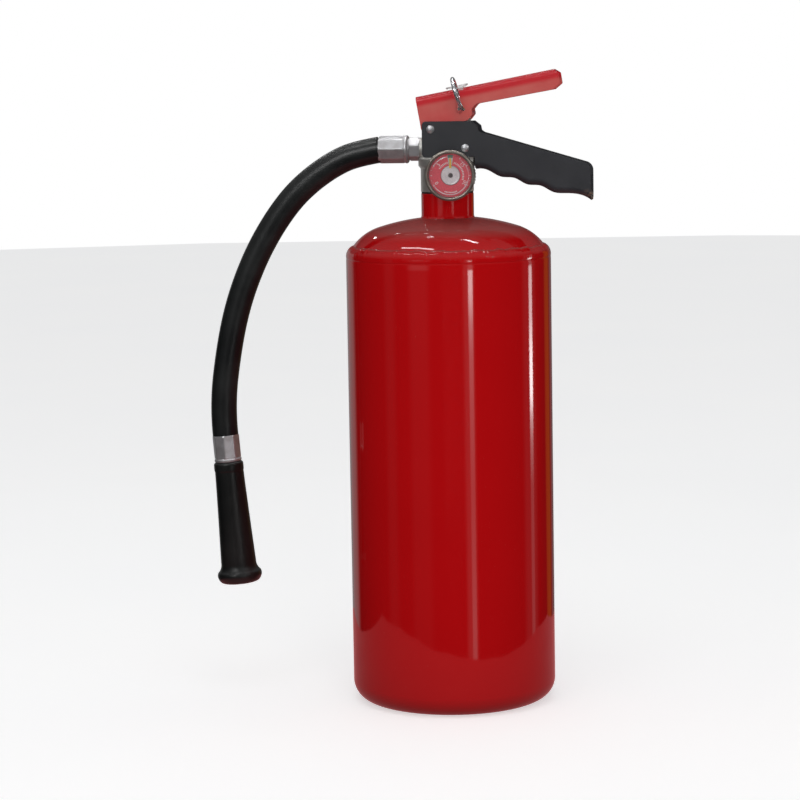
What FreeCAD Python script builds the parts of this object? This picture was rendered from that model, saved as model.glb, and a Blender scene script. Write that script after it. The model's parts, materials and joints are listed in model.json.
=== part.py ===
import FreeCAD, Part
import math
import os

# Dry powder fire extinguisher, 6 kg class, stored pressure. Millimetres, +Z up.
# Origin: middle of the base, on the shell's axis. The handle and lever point to +X,
# the hose leaves along -X and hangs down, and the gauge looks along -Y.

V = FreeCAD.Vector
X_AXIS = V(1, 0, 0)
Y_AXIS = V(0, 1, 0)
Z_AXIS = V(0, 0, 1)

# Shell, dome and neck
SHELL_R = 80.0            # outer radius of the deep-drawn shell
WALL = 1.5                # sheet thickness of shell and dome
BASE_CORNER_R = 16.0      # rounded bottom corner
BASE_DISH = 5.0           # how far the middle of the base is pressed upwards
SHELL_TOP = 350.0         # upper edge of the shell
BEAD_TOP = 359.5          # where the shoulder weld ends on the dome
BEAD_TOP_R = 74.5
DOME_SKIRT = 10.0         # length of the dome that goes inside the shell
SKIRT_PLAY = 0.1          # radial play between skirt and shell before they are welded
NECK_R = 20.5             # outer radius of the neck collar
NECK_TOP = 400.0
NECK_BOTTOM = 370.0
DOME_NECK_Z = 380.9       # dome height at the neck
STUB_R = 15.0             # valve thread in the neck

# Valve
FLANGE_Z = 401.2          # underside of the valve body, on its O-ring
BARREL_R = 20.6
SHOULDER_R = 22.3
SHOULDER_TOP = 427.8
STUB_BOTTOM = 383.0
CHAMBER_R = 10.0          # pressure chamber in the valve
SEAT_Z = 424.0            # valve seat, top of the chamber
CHEEK_HALF = 11.0         # half width of the block between the handle's flanks
CHEEK_TOP = 443.0
LUG_HALF = 8.5            # half width of the lug between the lever's flanks
LUG_TOP = 466.5
OUTLET_Z = 434.0          # axis of the outlet and hose fitting
STEM_R = 3.0
STEM_TOP = 476.6
STEM_TRAVEL = 3.2

# Carry handle (lower) and squeeze lever (upper)
HANDLE_HALF = 13.0        # half width outside
HANDLE_SHEET = 2.0
HANDLE_FOLD_R = 5.0
HANDLE_TOP = 455.5
HANDLE_SLOPE = 16.9       # degrees that the grip falls
GRIP_PITCH = 20.0         # distance from one finger wave to the next
GRIP_WAVE = 1.0           # half height of a finger wave
LEVER_HALF = 10.5
LEVER_SHEET = 1.5
LEVER_FOLD_R = 4.0
PIVOT = V(-10.9, 0, 449.5)
HANDLE_RIVET = V(16.1, 0, 434.8)
RIVET_R = 2.0
RIVET_HEAD_R = 3.1
RUNNING = 0.05            # radial play of a shaft in its hole

# Safety pin and seal
PIN_HOLE = V(11.5, 0, 462.9)
PIN_R = 1.5
RING_R = 12.2             # centre line radius of the pull ring
RING_LEAN = 15.0          # degrees that the ring leans to -X
RING_PITCH = 4.0          # how far the wire steps aside in one turn
RING_TURN = 0.93          # share of a full turn that the wire makes
RING_REACH = 25.9         # from the lever's middle to the middle of the ring
PIN_ELBOW = 13.6          # where the wire bends aside, clear of the lever's flank
RING_OFFSET = V(5.5, 0, 2.0)   # from the pin's hole to the ring's foot
LEVER_SQUEEZE = 13.0      # degrees of lever travel
TIE_R = 0.6               # the seal's clear tie
TIE_LOOP = [              # its route, from the pin's hole: in through the ring, over the lever, back
    V(2.0, -20.0, 18.2), V(-2.5, -22.0, 18.0), V(-7.5, -20.0, 17.6), V(-9.5, -13.5, 17.8),
    V(-9.0, -5.5, 18.1), V(-6.0, 1.5, 18.8), V(-1.0, 5.0, 19.8), V(3.5, 3.0, 20.6),
    V(6.0, -4.0, 21.0), V(6.0, -11.0, 20.4), V(4.8, -16.0, 19.2), V(3.4, -18.8, 18.6),
]

# Gauge
GAUGE_X = 8.8
GAUGE_Z = 415.0
GAUGE_FRONT = -50.0       # front of the bezel
GAUGE_R = 19.4            # bezel radius
CASE_R = 17.8
CASE_BACK = -33.0
LIP_REACH = 0.9           # how far the bezel's lip reaches over the window
DIAL_Y = -44.0
HUB_R = 7.3

# Hose and its fittings
HOSE_R = 10.25
NUT_FACE = -20.5          # where the outlet nut meets the valve
FERRULE_START = -30.0
FERRULE_END = -53.0
TAIL_LEAN = 4.5           # degrees that the nozzle leans towards the shell
NOZZLE_FERRULE = 21.5     # length of the lower ferrule
NOZZLE_LENGTH = 98.0
HOSE_ROUTE = [
    V(-53, 0, 434), V(-72, 0, 431), V(-89.5, 0, 423.5), V(-107.5, 0, 411.5), V(-124, 0, 396.5),
    V(-141, 0, 373.5), V(-155.5, 0, 347.5), V(-168.5, 0, 315), V(-177, 0, 279.5),
    V(-183.6, 0, 233), V(-181.7, 0, 209),
]
ROUTE_TRIM = 0.45         # share of the shorter run that each arc takes


def cylinder(radius, start, end):
    """Round bar from one point to another."""
    return Part.makeCylinder(radius, (end - start).Length, start, end - start)


def ring(outer, inner, start, end):
    """Tube from one point to another."""
    return cylinder(outer, start, end).cut(cylinder(inner, start, end))


def polygon_bar(sides, radius, start, end, turn=0.0):
    """Prism with a regular outline, its flats turned by some degrees about its axis."""
    axis = end - start
    points = []
    for k in range(sides + 1):
        angle = math.radians(turn + 360.0 * k / sides)
        points.append(V(radius * math.cos(angle), radius * math.sin(angle), 0))
    bar = Part.Face(Part.makePolygon(points)).extrude(V(0, 0, axis.Length))
    bar.Placement = FreeCAD.Placement(start, FreeCAD.Rotation(Z_AXIS, axis))
    return bar


def lathe(edges):
    """Solid of revolution about Z from edges that close an outline in the XZ plane."""
    return Part.Face(Part.Wire(edges)).revolve(V(0, 0, 0), Z_AXIS, 360)


def line(a, b):
    return Part.makeLine(V(a[0], 0, a[1]), V(b[0], 0, b[1]))


def arc(a, middle, b):
    return Part.Arc(V(a[0], 0, a[1]), V(middle[0], 0, middle[1]), V(b[0], 0, b[1])).toShape()


def chain(points):
    """Straight edges through points given as (x, z), closed."""
    return [line(points[k], points[(k + 1) % len(points)]) for k in range(len(points))]


def rounded_outline(corners):
    """Closed wire in the XZ plane. Each corner is (x, z, radius); a radius of 0 stays sharp."""
    count = len(corners)
    starts = []
    ends = []
    arcs = []
    for k in range(count):
        here = V(corners[k][0], 0, corners[k][1])
        before = V(corners[k - 1][0], 0, corners[k - 1][1])
        after = V(corners[(k + 1) % count][0], 0, corners[(k + 1) % count][1])
        to_before = (before - here).normalize()
        to_after = (after - here).normalize()
        radius = corners[k][2]
        half = to_before.getAngle(to_after) / 2
        reach = radius / math.tan(half)
        first = here + to_before * reach
        last = here + to_after * reach
        if radius > 0:
            bisector = (to_before + to_after).normalize()
            middle = here + bisector * (radius / math.sin(half) - radius)
            arcs.append(Part.Arc(first, middle, last).toShape())
        else:
            arcs.append(None)
        starts.append(first)
        ends.append(last)
    edges = []
    for k in range(count):
        if arcs[k] is not None:
            edges.append(arcs[k])
        edges.append(Part.makeLine(ends[k], starts[(k + 1) % count]))
    return Part.Wire(edges)


def slab(wire, half_width):
    """Outline in the XZ plane made into a plate centred on Y = 0."""
    face = Part.Face(wire)
    face.translate(V(0, -half_width, 0))
    return face.extrude(V(0, 2 * half_width, 0))


def side_edges(solid, half_width, low, high):
    """Edges that lie on the plates' two side planes, between two heights given as functions."""
    picked = []
    for edge in solid.Edges:
        box = edge.BoundBox
        flat = box.YLength < 1e-6 and abs(abs(box.YMin) - half_width) < 1e-6
        middle = edge.CenterOfMass
        if flat and box.XLength > 4 and low(middle.x) < middle.z < high(middle.x):
            picked.append(edge)
    return picked


def shell():
    inner = SHELL_R - WALL
    foot = SHELL_R - BASE_CORNER_R
    corner = BASE_CORNER_R * (1 - math.sqrt(0.5))
    inner_corner = BASE_CORNER_R - WALL
    inner_bend = inner_corner * math.sqrt(0.5)
    dish_edge = foot - 5
    edges = [
        line((0, BASE_DISH), (20, BASE_DISH)),
        arc((20, BASE_DISH), (42, BASE_DISH * 0.72), (dish_edge, 0)),
        line((dish_edge, 0), (foot, 0)),
        arc((foot, 0), (SHELL_R - corner, corner), (SHELL_R, BASE_CORNER_R)),
        line((SHELL_R, BASE_CORNER_R), (SHELL_R, SHELL_TOP)),
        line((SHELL_R, SHELL_TOP), (inner, SHELL_TOP)),
        line((inner, SHELL_TOP), (inner, BASE_CORNER_R)),
        arc((inner, BASE_CORNER_R), (foot + inner_bend, BASE_CORNER_R - inner_bend), (foot, WALL)),
        line((foot, WALL), (dish_edge, WALL)),
        arc((dish_edge, WALL), (42, BASE_DISH * 0.72 + WALL), (20, BASE_DISH + WALL)),
        line((20, BASE_DISH + WALL), (0, BASE_DISH + WALL)),
        line((0, BASE_DISH + WALL), (0, BASE_DISH)),
    ]
    return lathe(edges)


def dome_line(offset, hole):
    """Dome section from the neck hole to the skirt, moved inwards by offset."""
    skirt = SHELL_R - WALL - SKIRT_PLAY - offset
    return [
        arc((hole, DOME_NECK_Z - offset), (38, 378.1 - offset), (53, 374.2 - offset)),
        arc((53, 374.2 - offset), (65.3 - offset * 0.6, 368.4 - offset * 0.8),
            (BEAD_TOP_R - offset * 0.8, BEAD_TOP - offset * 0.6)),
        arc((BEAD_TOP_R - offset * 0.8, BEAD_TOP - offset * 0.6), (77.6 - offset, 354.4 - offset * 0.3),
            (skirt, SHELL_TOP - 2)),
        line((skirt, SHELL_TOP - 2), (skirt, SHELL_TOP - DOME_SKIRT)),
    ]


def top_dome():
    outside = dome_line(0, NECK_R)
    inside = dome_line(WALL, NECK_R)
    rim = SHELL_TOP - DOME_SKIRT
    edges = outside + inside
    skirt = SHELL_R - WALL - SKIRT_PLAY
    edges.append(line((skirt, rim), (skirt - WALL, rim)))
    edges.append(line((NECK_R, DOME_NECK_Z - WALL), (NECK_R, DOME_NECK_Z)))
    return lathe(Part.sortEdges(edges)[0])


def shoulder_weld(dome):
    """Rounded weld bead that joins the dome to the shell's upper edge."""
    edges = [
        arc((SHELL_R, SHELL_TOP), (78.9, 355.9), (BEAD_TOP_R, BEAD_TOP)),
        line((BEAD_TOP_R, BEAD_TOP), (BEAD_TOP_R - 1, SHELL_TOP)),
        line((BEAD_TOP_R - 1, SHELL_TOP), (SHELL_R, SHELL_TOP)),
    ]
    bead = lathe(edges).cut(dome)
    inside = cylinder(SHELL_R - 2 * WALL, V(0, 0, SHELL_TOP - 1), V(0, 0, BEAD_TOP - 3))
    bead = bead.cut(inside)
    return max(bead.Solids, key=lambda solid: solid.Volume)


def neck_collar():
    """Threaded collar in the middle of the dome."""
    return ring(NECK_R, STUB_R, V(0, 0, NECK_BOTTOM), V(0, 0, NECK_TOP))


def powder_charge():
    """The extinguishing powder, filling the shell around the dip tube."""
    inner = SHELL_R - WALL - 0.4
    low = BASE_DISH + WALL + 0.4
    fill = cylinder(inner - 10, V(0, 0, low), V(0, 0, 262))
    fill = fill.fuse(cylinder(inner, V(0, 0, low + 12), V(0, 0, 262)))
    return fill.removeSplitter().cut(cylinder(7.3, V(0, 0, 0), V(0, 0, 300)))


def dip_tube():
    return ring(7.0, 5.5, V(0, 0, 24), V(0, 0, 391))


def dip_tube_adapter():
    """Ring in the valve's lower mouth. It holds the dip tube and carries the spring."""
    body = cylinder(CHAMBER_R, V(0, 0, 381), V(0, 0, 396))
    body = body.cut(cylinder(7.0, V(0, 0, 380), V(0, 0, 391)))
    return body.cut(cylinder(4.0, V(0, 0, 390), V(0, 0, 397)))


def pin_slot():
    """Slot in the locking lug. The pin shank moves down it with the lever."""
    slot_r = PIN_R + 0.6
    reach = PIN_HOLE - PIVOT
    turn = FreeCAD.Rotation(Y_AXIS, LEVER_SQUEEZE)
    lowest = PIVOT + turn.multVec(reach)
    side = V(0, CHEEK_HALF + 1, 0)
    slot = cylinder(slot_r, PIN_HOLE - side, PIN_HOLE + side)
    slot = slot.fuse(cylinder(slot_r, lowest - side, lowest + side))
    along = (lowest - PIN_HOLE).normalize()
    across = V(along.z, 0, -along.x) * slot_r
    corners = [PIN_HOLE + across, lowest + across, lowest - across, PIN_HOLE - across, PIN_HOLE + across]
    block = Part.Face(Part.makePolygon(corners))
    block.translate(-side)
    return slot.fuse(block.extrude(side * 2))


def valve_body():
    section = chain([
        (0, STUB_BOTTOM), (STUB_R - 1, STUB_BOTTOM), (STUB_R, STUB_BOTTOM + 1), (STUB_R, FLANGE_Z),
        (BARREL_R, FLANGE_Z), (BARREL_R, 419), (SHOULDER_R, 421.5), (SHOULDER_R, SHOULDER_TOP - 1.2),
        (SHOULDER_R - 1.2, SHOULDER_TOP), (0, SHOULDER_TOP),
    ])
    body = lathe(section)
    cheeks = slab(rounded_outline([
        (-17, SHOULDER_TOP - 4, 0), (22, SHOULDER_TOP - 4, 0), (22, CHEEK_TOP, 3), (-17, CHEEK_TOP, 3),
    ]), CHEEK_HALF)
    lug = slab(rounded_outline([
        (-16.5, CHEEK_TOP - 5, 0), (18, CHEEK_TOP - 5, 0), (18, LUG_TOP, 5), (-8, LUG_TOP, 4),
        (-16.5, CHEEK_TOP + 12, 6),
    ]), LUG_HALF)
    outlet = cylinder(9.0, V(-10, 0, OUTLET_Z), V(NUT_FACE, 0, OUTLET_Z))
    port = cylinder(8.0, V(GAUGE_X, -8, GAUGE_Z), V(GAUGE_X, -27, GAUGE_Z))
    for piece in (cheeks, lug, outlet, port):
        body = body.fuse(piece)
    body = body.removeSplitter()
    bores = [
        cylinder(CHAMBER_R, V(0, 0, STUB_BOTTOM - 1), V(0, 0, SEAT_Z)),
        cylinder(4.5, V(0, 0, SEAT_Z - 1), V(0, 0, 440)),
        cylinder(STEM_R + RUNNING, V(0, 0, 439), V(0, 0, LUG_TOP + 1)),
        cylinder(6.0, V(0, 0, LUG_TOP - 7), V(0, 0, LUG_TOP + 1)),
        cylinder(4.0, V(0, 0, OUTLET_Z), V(-14, 0, OUTLET_Z)),
        cylinder(6.0, V(-10.5, 0, OUTLET_Z), V(NUT_FACE - 1, 0, OUTLET_Z)),
        cylinder(9.8, V(NUT_FACE, 0, OUTLET_Z), V(NUT_FACE - 5, 0, OUTLET_Z)),
        cylinder(1.5, V(GAUGE_X, -4, GAUGE_Z), V(GAUGE_X, -20, GAUGE_Z)),
        cylinder(5.0, V(GAUGE_X, -17, GAUGE_Z), V(GAUGE_X, -28, GAUGE_Z)),
        cylinder(RIVET_R, PIVOT - V(0, 20, 0), PIVOT + V(0, 20, 0)),
        cylinder(RIVET_R, HANDLE_RIVET - V(0, 20, 0), HANDLE_RIVET + V(0, 20, 0)),
        pin_slot(),
    ]
    for bore in bores:
        body = body.cut(bore)
    return max(body.Solids, key=lambda solid: solid.Volume)


def neck_o_ring():
    return ring(BARREL_R - 0.4, STUB_R, V(0, 0, NECK_TOP), V(0, 0, FLANGE_Z))


def stem_gland():
    """Brass gland nut round the stem, screwed into the top of the lug."""
    body = cylinder(6.0, V(0, 0, LUG_TOP - 7), V(0, 0, LUG_TOP))
    head = polygon_bar(6, 7.4, V(0, 0, LUG_TOP), V(0, 0, LUG_TOP + 2))
    bore = cylinder(STEM_R + RUNNING, V(0, 0, LUG_TOP - 8), V(0, 0, LUG_TOP + 3))
    return body.fuse(head).removeSplitter().cut(bore)


def valve_stem():
    """Push rod with a rounded head, a seal plate and a guide for the spring."""
    dome_r = 5.0
    drop = dome_r - math.sqrt(dome_r ** 2 - STEM_R ** 2)
    half = math.asin(STEM_R / dome_r) / 2
    edges = [
        arc((0, STEM_TOP), (dome_r * math.sin(half), STEM_TOP - dome_r * (1 - math.cos(half))),
            (STEM_R, STEM_TOP - drop)),
        line((STEM_R, STEM_TOP - drop), (STEM_R, 423.7)),
        line((STEM_R, 423.7), (2.5, 423.7)),
        line((2.5, 423.7), (2.5, 419.5)),
        line((2.5, 419.5), (7.0, 419.5)),
        line((7.0, 419.5), (7.0, 417.5)),
        line((7.0, 417.5), (2.5, 417.5)),
        line((2.5, 417.5), (2.5, 402)),
        line((2.5, 402), (0, 402)),
        line((0, 402), (0, STEM_TOP)),
    ]
    return lathe(edges)


def stem_seal():
    return ring(7.4, 2.5, V(0, 0, 419.5), V(0, 0, 423.7))


def valve_spring():
    """Coil spring that closes the valve and lifts the lever."""
    low = 397.0
    high = 416.6
    coil = Part.makeHelix(3.2, high - low, 6.2)
    start = V(6.2, 0, 0)
    profile = Part.Wire(Part.makeCircle(0.7, start, Y_AXIS))
    spring = Part.Wire(coil.Edges).makePipeShell([profile], True, True)
    spring.translate(V(0, 0, low))
    return spring


def grip_line(x, rise=0.0):
    """Height of the grip's mean underside at x."""
    return 419.3 - (x - 23.5) * math.tan(math.radians(HANDLE_SLOPE)) + rise


def grip_edge(start, end, rise):
    """Finger-waved underside of the grip, ending in a lip that turns down."""
    points = []
    count = 2 * int((end - 12 - start) / GRIP_PITCH) + 1
    for k in range(count + 1):
        x = start + k * GRIP_PITCH / 2
        wave = GRIP_WAVE if k % 2 else -GRIP_WAVE
        points.append(V(x, 0, grip_line(x, rise + wave)))
    points.append(V(end, 0, grip_line(end, rise + 1.4)))
    curve = Part.BSplineCurve()
    curve.interpolate(points)
    return curve.toShape()


def handle_plate(half_width, rise, fold_r, spread):
    """Side outline of the carry handle as a solid plate, its lower long edges rounded."""
    left = 23.5 - spread
    right = 112.9 + spread
    bottom = grip_edge(left, right, rise)
    first = bottom.Vertexes[0].Point
    last = bottom.Vertexes[-1].Point
    top_at = HANDLE_TOP + spread
    tip_low = V(right, 0, 415.5)
    tip_high = V(right - 5.5, 0, 422.9 + spread)
    tip = Part.Arc(tip_low, V(right - 1.4, 0, 420.2 + spread / 2), tip_high)
    corners = [
        tip_high, V(28.4, 0, 446.6 + spread),
        V(26.3, 0, 448.2 + spread), V(25.6, 0, 451.8 + spread), V(21.0, 0, top_at), V(-17.6, 0, top_at),
        V(-17.6, 0, SHOULDER_TOP + 0.2), V(left, 0, SHOULDER_TOP + 0.2), first,
    ]
    edges = [bottom, Part.makeLine(last, tip_low), tip.toShape()]
    for k in range(len(corners) - 1):
        edges.append(Part.makeLine(corners[k], corners[k + 1]))
    plate = slab(Part.Wire(Part.sortEdges(edges)[0]), half_width)
    folds = side_edges(plate, half_width, lambda x: grip_line(x) - 6, lambda x: grip_line(x) + 6)
    return plate.makeFillet(fold_r, [edge for edge in folds if edge.BoundBox.XLength > 60])


def carry_handle():
    """Lower handle: a channel open upwards, riveted across the valve's cheeks."""
    outer = handle_plate(HANDLE_HALF, 0.0, HANDLE_FOLD_R, 0.0)
    inner = handle_plate(HANDLE_HALF - HANDLE_SHEET, HANDLE_SHEET + 0.1, HANDLE_FOLD_R - HANDLE_SHEET, 1.0)
    throat = Part.makeBox(60, 2 * (HANDLE_HALF - HANDLE_SHEET), 80,
                          V(-36, -(HANDLE_HALF - HANDLE_SHEET), 400))
    body = outer.cut(inner).cut(throat)
    for centre in (PIVOT, HANDLE_RIVET):
        body = body.cut(cylinder(RIVET_R, centre - V(0, 20, 0), centre + V(0, 20, 0)))
    corner = cylinder_corner(V(-17.6, 0, HANDLE_TOP), 3.0, 1, -1)
    corner = corner.fuse(cylinder_corner(V(-17.6, 0, SHOULDER_TOP + 0.2), 2.5, 1, 1))
    return body.cut(corner)


def cylinder_corner(point, radius, to_x, to_z):
    """Block that leaves a plate's corner rounded when it is cut away."""
    side = 20.0
    low_x = point.x if to_x > 0 else point.x - radius
    low_z = point.z if to_z > 0 else point.z - radius
    block = Part.makeBox(radius, 2 * side, radius, V(low_x, -side, low_z))
    centre = V(point.x + to_x * radius, 0, point.z + to_z * radius)
    return block.cut(cylinder(radius, centre - V(0, side + 1, 0), centre + V(0, side + 1, 0)))


def lever_plate(half_width, drop):
    """Side outline of the lever as a solid plate. drop lowers its top by the sheet's thickness."""
    spread = 2.0 if drop > 0 else 0.0
    corners = [
        (-22.7 - spread, 474.4 - drop - spread * 0.18, 0),
        (84.4 + spread, 494.2 - drop + spread * 0.18, 0),
        (88.6 + spread, 491.4 - drop, 1.0),
        (89.9 + spread, 483.2, 1.5),
        (84.4, 478.7 - spread, 0.8),
        (24.6, 468.6 - spread, 3.5),
        (21.2, 464.6 - spread, 0),
        (21.9, 460.8 - spread, 2.0),
        (18.4, 456.4 - spread, 2.0),
        (14.0, 454.6 - spread, 3.0),
        (-3.0, 446.0 - spread, 3.0),
        (-6.5, 444.2 - spread, 2.0),
        (-15.4, 444.2 - spread, 4.0),
        (-18.4 - spread, 449.5, 2.0),
    ]
    plate = slab(rounded_outline(corners), half_width)
    return plate


def squeeze_lever():
    """Upper lever: a channel open downwards, with its two flanks on the pivot rivet."""
    outer = lever_plate(LEVER_HALF, 0.0)
    folds = side_edges(outer, LEVER_HALF, lambda x: 474.0 + (x + 22.7) * 0.12, lambda x: 500.0)
    folds = [edge for edge in folds if edge.BoundBox.XLength > 60]
    outer = outer.makeFillet(LEVER_FOLD_R, folds)
    inner = lever_plate(LEVER_HALF - LEVER_SHEET, LEVER_SHEET)
    folds = side_edges(inner, LEVER_HALF - LEVER_SHEET, lambda x: 472.0 + (x + 22.7) * 0.12, lambda x: 500.0)
    folds = [edge for edge in folds if edge.BoundBox.XLength > 60]
    inner = inner.makeFillet(LEVER_FOLD_R - LEVER_SHEET, folds)
    body = outer.cut(inner)
    pivot_hole = cylinder(RIVET_R + RUNNING, PIVOT - V(0, 20, 0), PIVOT + V(0, 20, 0))
    pin_hole = cylinder(PIN_R + RUNNING, PIN_HOLE - V(0, 20, 0), PIN_HOLE + V(0, 20, 0))
    return body.cut(pivot_hole).cut(pin_hole)


def rivet(centre):
    """Rivet across both handle flanks with two domed heads."""
    shank = cylinder(RIVET_R, centre - V(0, HANDLE_HALF, 0), centre + V(0, HANDLE_HALF, 0))
    height = 1.7
    ball_r = (RIVET_HEAD_R ** 2 + height ** 2) / (2 * height)
    body = shank
    for side in (-1, 1):
        face = centre + V(0, side * HANDLE_HALF, 0)
        ball = Part.makeSphere(ball_r, face - V(0, side * (ball_r - height), 0))
        body = body.fuse(ball.common(cylinder(RIVET_HEAD_R, face, face + V(0, side * 5, 0))))
    return body.removeSplitter()


def ring_up():
    """Direction from the pull ring's foot to its top."""
    lean = math.radians(RING_LEAN)
    return V(-math.sin(lean), 0, math.cos(lean))


def safety_pin():
    """One wire: a straight shank through lever and lug, then an open turn as the pull ring."""
    far_end = PIN_HOLE + V(0, 16.5, 0)
    elbow = PIN_HOLE - V(0, PIN_ELBOW, 0)
    foot = PIN_HOLE + RING_OFFSET - V(0, RING_REACH, 0)
    shank = cylinder(PIN_R, elbow, far_end)
    leg = cylinder(PIN_R, elbow, foot)
    up = ring_up()
    coil = Part.makeHelix(RING_PITCH, RING_PITCH * RING_TURN, RING_R)
    profile = Part.Wire(Part.makeCircle(PIN_R, V(RING_R, 0, 0), Y_AXIS))
    loop = Part.Wire(coil.Edges).makePipeShell([profile], True, True)
    # The helix starts at its own +X and turns to its own +Y.
    # Its +X is laid along -up and its +Y along -Y, so the turn starts where the shank ends.
    matrix = FreeCAD.Matrix()
    own_x = up * -1
    own_y = V(0, -1, 0)
    own_z = own_x.cross(own_y)
    centre = foot + up * RING_R
    matrix.A11, matrix.A21, matrix.A31 = own_x.x, own_x.y, own_x.z
    matrix.A12, matrix.A22, matrix.A32 = own_y.x, own_y.y, own_y.z
    matrix.A13, matrix.A23, matrix.A33 = own_z.x, own_z.y, own_z.z
    matrix.A14, matrix.A24, matrix.A34 = centre.x, centre.y, centre.z
    loop.transformShape(matrix)
    body = shank.fuse(leg).fuse(loop)
    for bend in (far_end, elbow, foot):
        body = body.fuse(Part.makeSphere(PIN_R, bend))
    return body.removeSplitter()


def rounded_path(points, share):
    """Straight runs joined by tangent arcs. Returns the wire and the arcs' radii."""
    edges = []
    radii = []
    at = points[0]
    for k in range(1, len(points) - 1):
        back = points[k - 1] - points[k]
        ahead = points[k + 1] - points[k]
        reach = share * min(back.Length, ahead.Length)
        half_turn = (math.pi - back.getAngle(ahead)) / 2
        radius = reach / math.tan(half_turn)
        back.normalize()
        ahead.normalize()
        first = points[k] + back * reach
        last = points[k] + ahead * reach
        inward = (back + ahead).normalize()
        middle = points[k] + inward * (radius / math.cos(half_turn) - radius)
        edges.append(Part.LineSegment(at, first).toShape())
        edges.append(Part.Arc(first, middle, last).toShape())
        radii.append(radius)
        at = last
    edges.append(Part.LineSegment(at, points[-1]).toShape())
    return Part.Wire(edges), radii


def tube_along(points, radius, share):
    """Solid round bar along a rounded path."""
    path, radii = rounded_path(points, share)
    start = points[0]
    profile = Part.Wire(Part.makeCircle(radius, start, points[1] - start))
    return path.makePipeShell([profile], True, True), path, radii


def tamper_seal():
    """Thin clear tie through the pull ring, laid over the lever's top, with a small lock."""
    points = [PIN_HOLE + offset for offset in TIE_LOOP]
    tie = tube_along(points, TIE_R, 0.4)[0]
    lock = Part.makeBox(3.4, 3.0, 4.0, points[0] + V(-0.6, -1.5, -2.0))
    return tie.fuse(lock).removeSplitter()


def gauge_axis(y):
    return V(GAUGE_X, y, GAUGE_Z)


def gauge_case():
    """Cup of the gauge with the threaded stem that screws into the valve."""
    cup = cylinder(CASE_R, gauge_axis(CASE_BACK), gauge_axis(-46.0))
    cup = cup.cut(cylinder(CASE_R - 1.2, gauge_axis(CASE_BACK - 1.2), gauge_axis(-47)))
    hexagon = polygon_bar(6, 8.0, gauge_axis(-29.0), gauge_axis(CASE_BACK), 15)
    stem = cylinder(5.0, gauge_axis(-17.0), gauge_axis(CASE_BACK))
    body = cup.fuse(hexagon).fuse(stem).removeSplitter()
    return body.cut(cylinder(1.0, gauge_axis(-16), gauge_axis(-35)))


def gauge_seal():
    """Flat washer under the gauge's hexagon."""
    return ring(7.4, 5.0, gauge_axis(-27.0), gauge_axis(-29.0))


def bourdon_coil():
    """Coiled pressure tube behind the dial."""
    coil = Part.makeHelix(2.2, 6.6, 5.4)
    profile = Part.Wire(Part.makeCircle(0.7, V(5.4, 0, 0), Y_AXIS))
    body = Part.Wire(coil.Edges).makePipeShell([profile], True, True)
    body.Placement = FreeCAD.Placement(gauge_axis(-35.2), FreeCAD.Rotation(X_AXIS, 90))
    return body


def gauge_dial():
    """Flat ring that carries the printed scale."""
    return ring(CASE_R - 1.3, HUB_R + 0.3, gauge_axis(DIAL_Y), gauge_axis(DIAL_Y - 0.6))


def gauge_hub():
    """Bright disc on the coil's free end, which carries the needle."""
    back = gauge_axis(DIAL_Y)
    body = cylinder(HUB_R, back, gauge_axis(DIAL_Y - 0.9))
    return body.cut(cylinder(1.5, back, gauge_axis(DIAL_Y - 2)))


def gauge_needle():
    """Pointer from the hub to the scale, at the green mark in the rest position."""
    y = DIAL_Y - 0.9
    root = 5.6
    shoulder = 12.6
    tip = 13.6
    corners = [
        V(-0.95, 0, root), V(-0.6, 0, shoulder), V(0, 0, tip), V(0.6, 0, shoulder), V(0.95, 0, root),
        V(-0.95, 0, root),
    ]
    blade = Part.Face(Part.makePolygon(corners)).extrude(V(0, -0.4, 0))
    blade.translate(V(GAUGE_X, y, GAUGE_Z))
    return blade


def gauge_lens():
    """Clear domed window."""
    edge_r = CASE_R - 0.6
    height = 2.2
    ball_r = (edge_r ** 2 + height ** 2) / (2 * height)
    thickness = 1.0
    rim_y = -46.6
    disc = cylinder(edge_r, gauge_axis(rim_y), gauge_axis(rim_y - 4))
    outside = Part.makeSphere(ball_r, gauge_axis(rim_y - height - thickness + ball_r))
    inside = Part.makeSphere(ball_r - thickness, gauge_axis(rim_y - height - thickness + ball_r))
    return disc.common(outside).cut(inside)


def gauge_bezel():
    """Rolled front ring with a serrated side, crimped over the case and the window."""
    lip_r = CASE_R - LIP_REACH
    body = cylinder(GAUGE_R, gauge_axis(-42.0), gauge_axis(GAUGE_FRONT))
    body = body.makeFillet(1.4, end_rims(body, gauge_axis(GAUGE_FRONT)))
    body = body.cut(cylinder(CASE_R + 0.02, gauge_axis(-41), gauge_axis(GAUGE_FRONT + 1.0)))
    body = body.cut(cylinder(lip_r, gauge_axis(-41), gauge_axis(GAUGE_FRONT - 1)))
    notches = []
    count = 48
    for k in range(count):
        angle = math.radians(360.0 * k / count)
        spot = gauge_axis(-41) + V(math.cos(angle), 0, math.sin(angle)) * (GAUGE_R + 0.25)
        notches.append(cylinder(0.6, spot, spot + V(0, -6.5, 0)))
    return body.cut(Part.makeCompound(notches))


def outlet_axis(x):
    return V(x, 0, OUTLET_Z)


def outlet_nut():
    """Hexagon nut that holds the hose fitting on the valve's outlet."""
    body = polygon_bar(6, 9.3, outlet_axis(NUT_FACE), outlet_axis(FERRULE_START + 1), 22)
    return body.cut(cylinder(6.0, outlet_axis(0), outlet_axis(-60)))


def hose_washer():
    return ring(6.0, 4.0, outlet_axis(-10.5), outlet_axis(-12.0))


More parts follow.
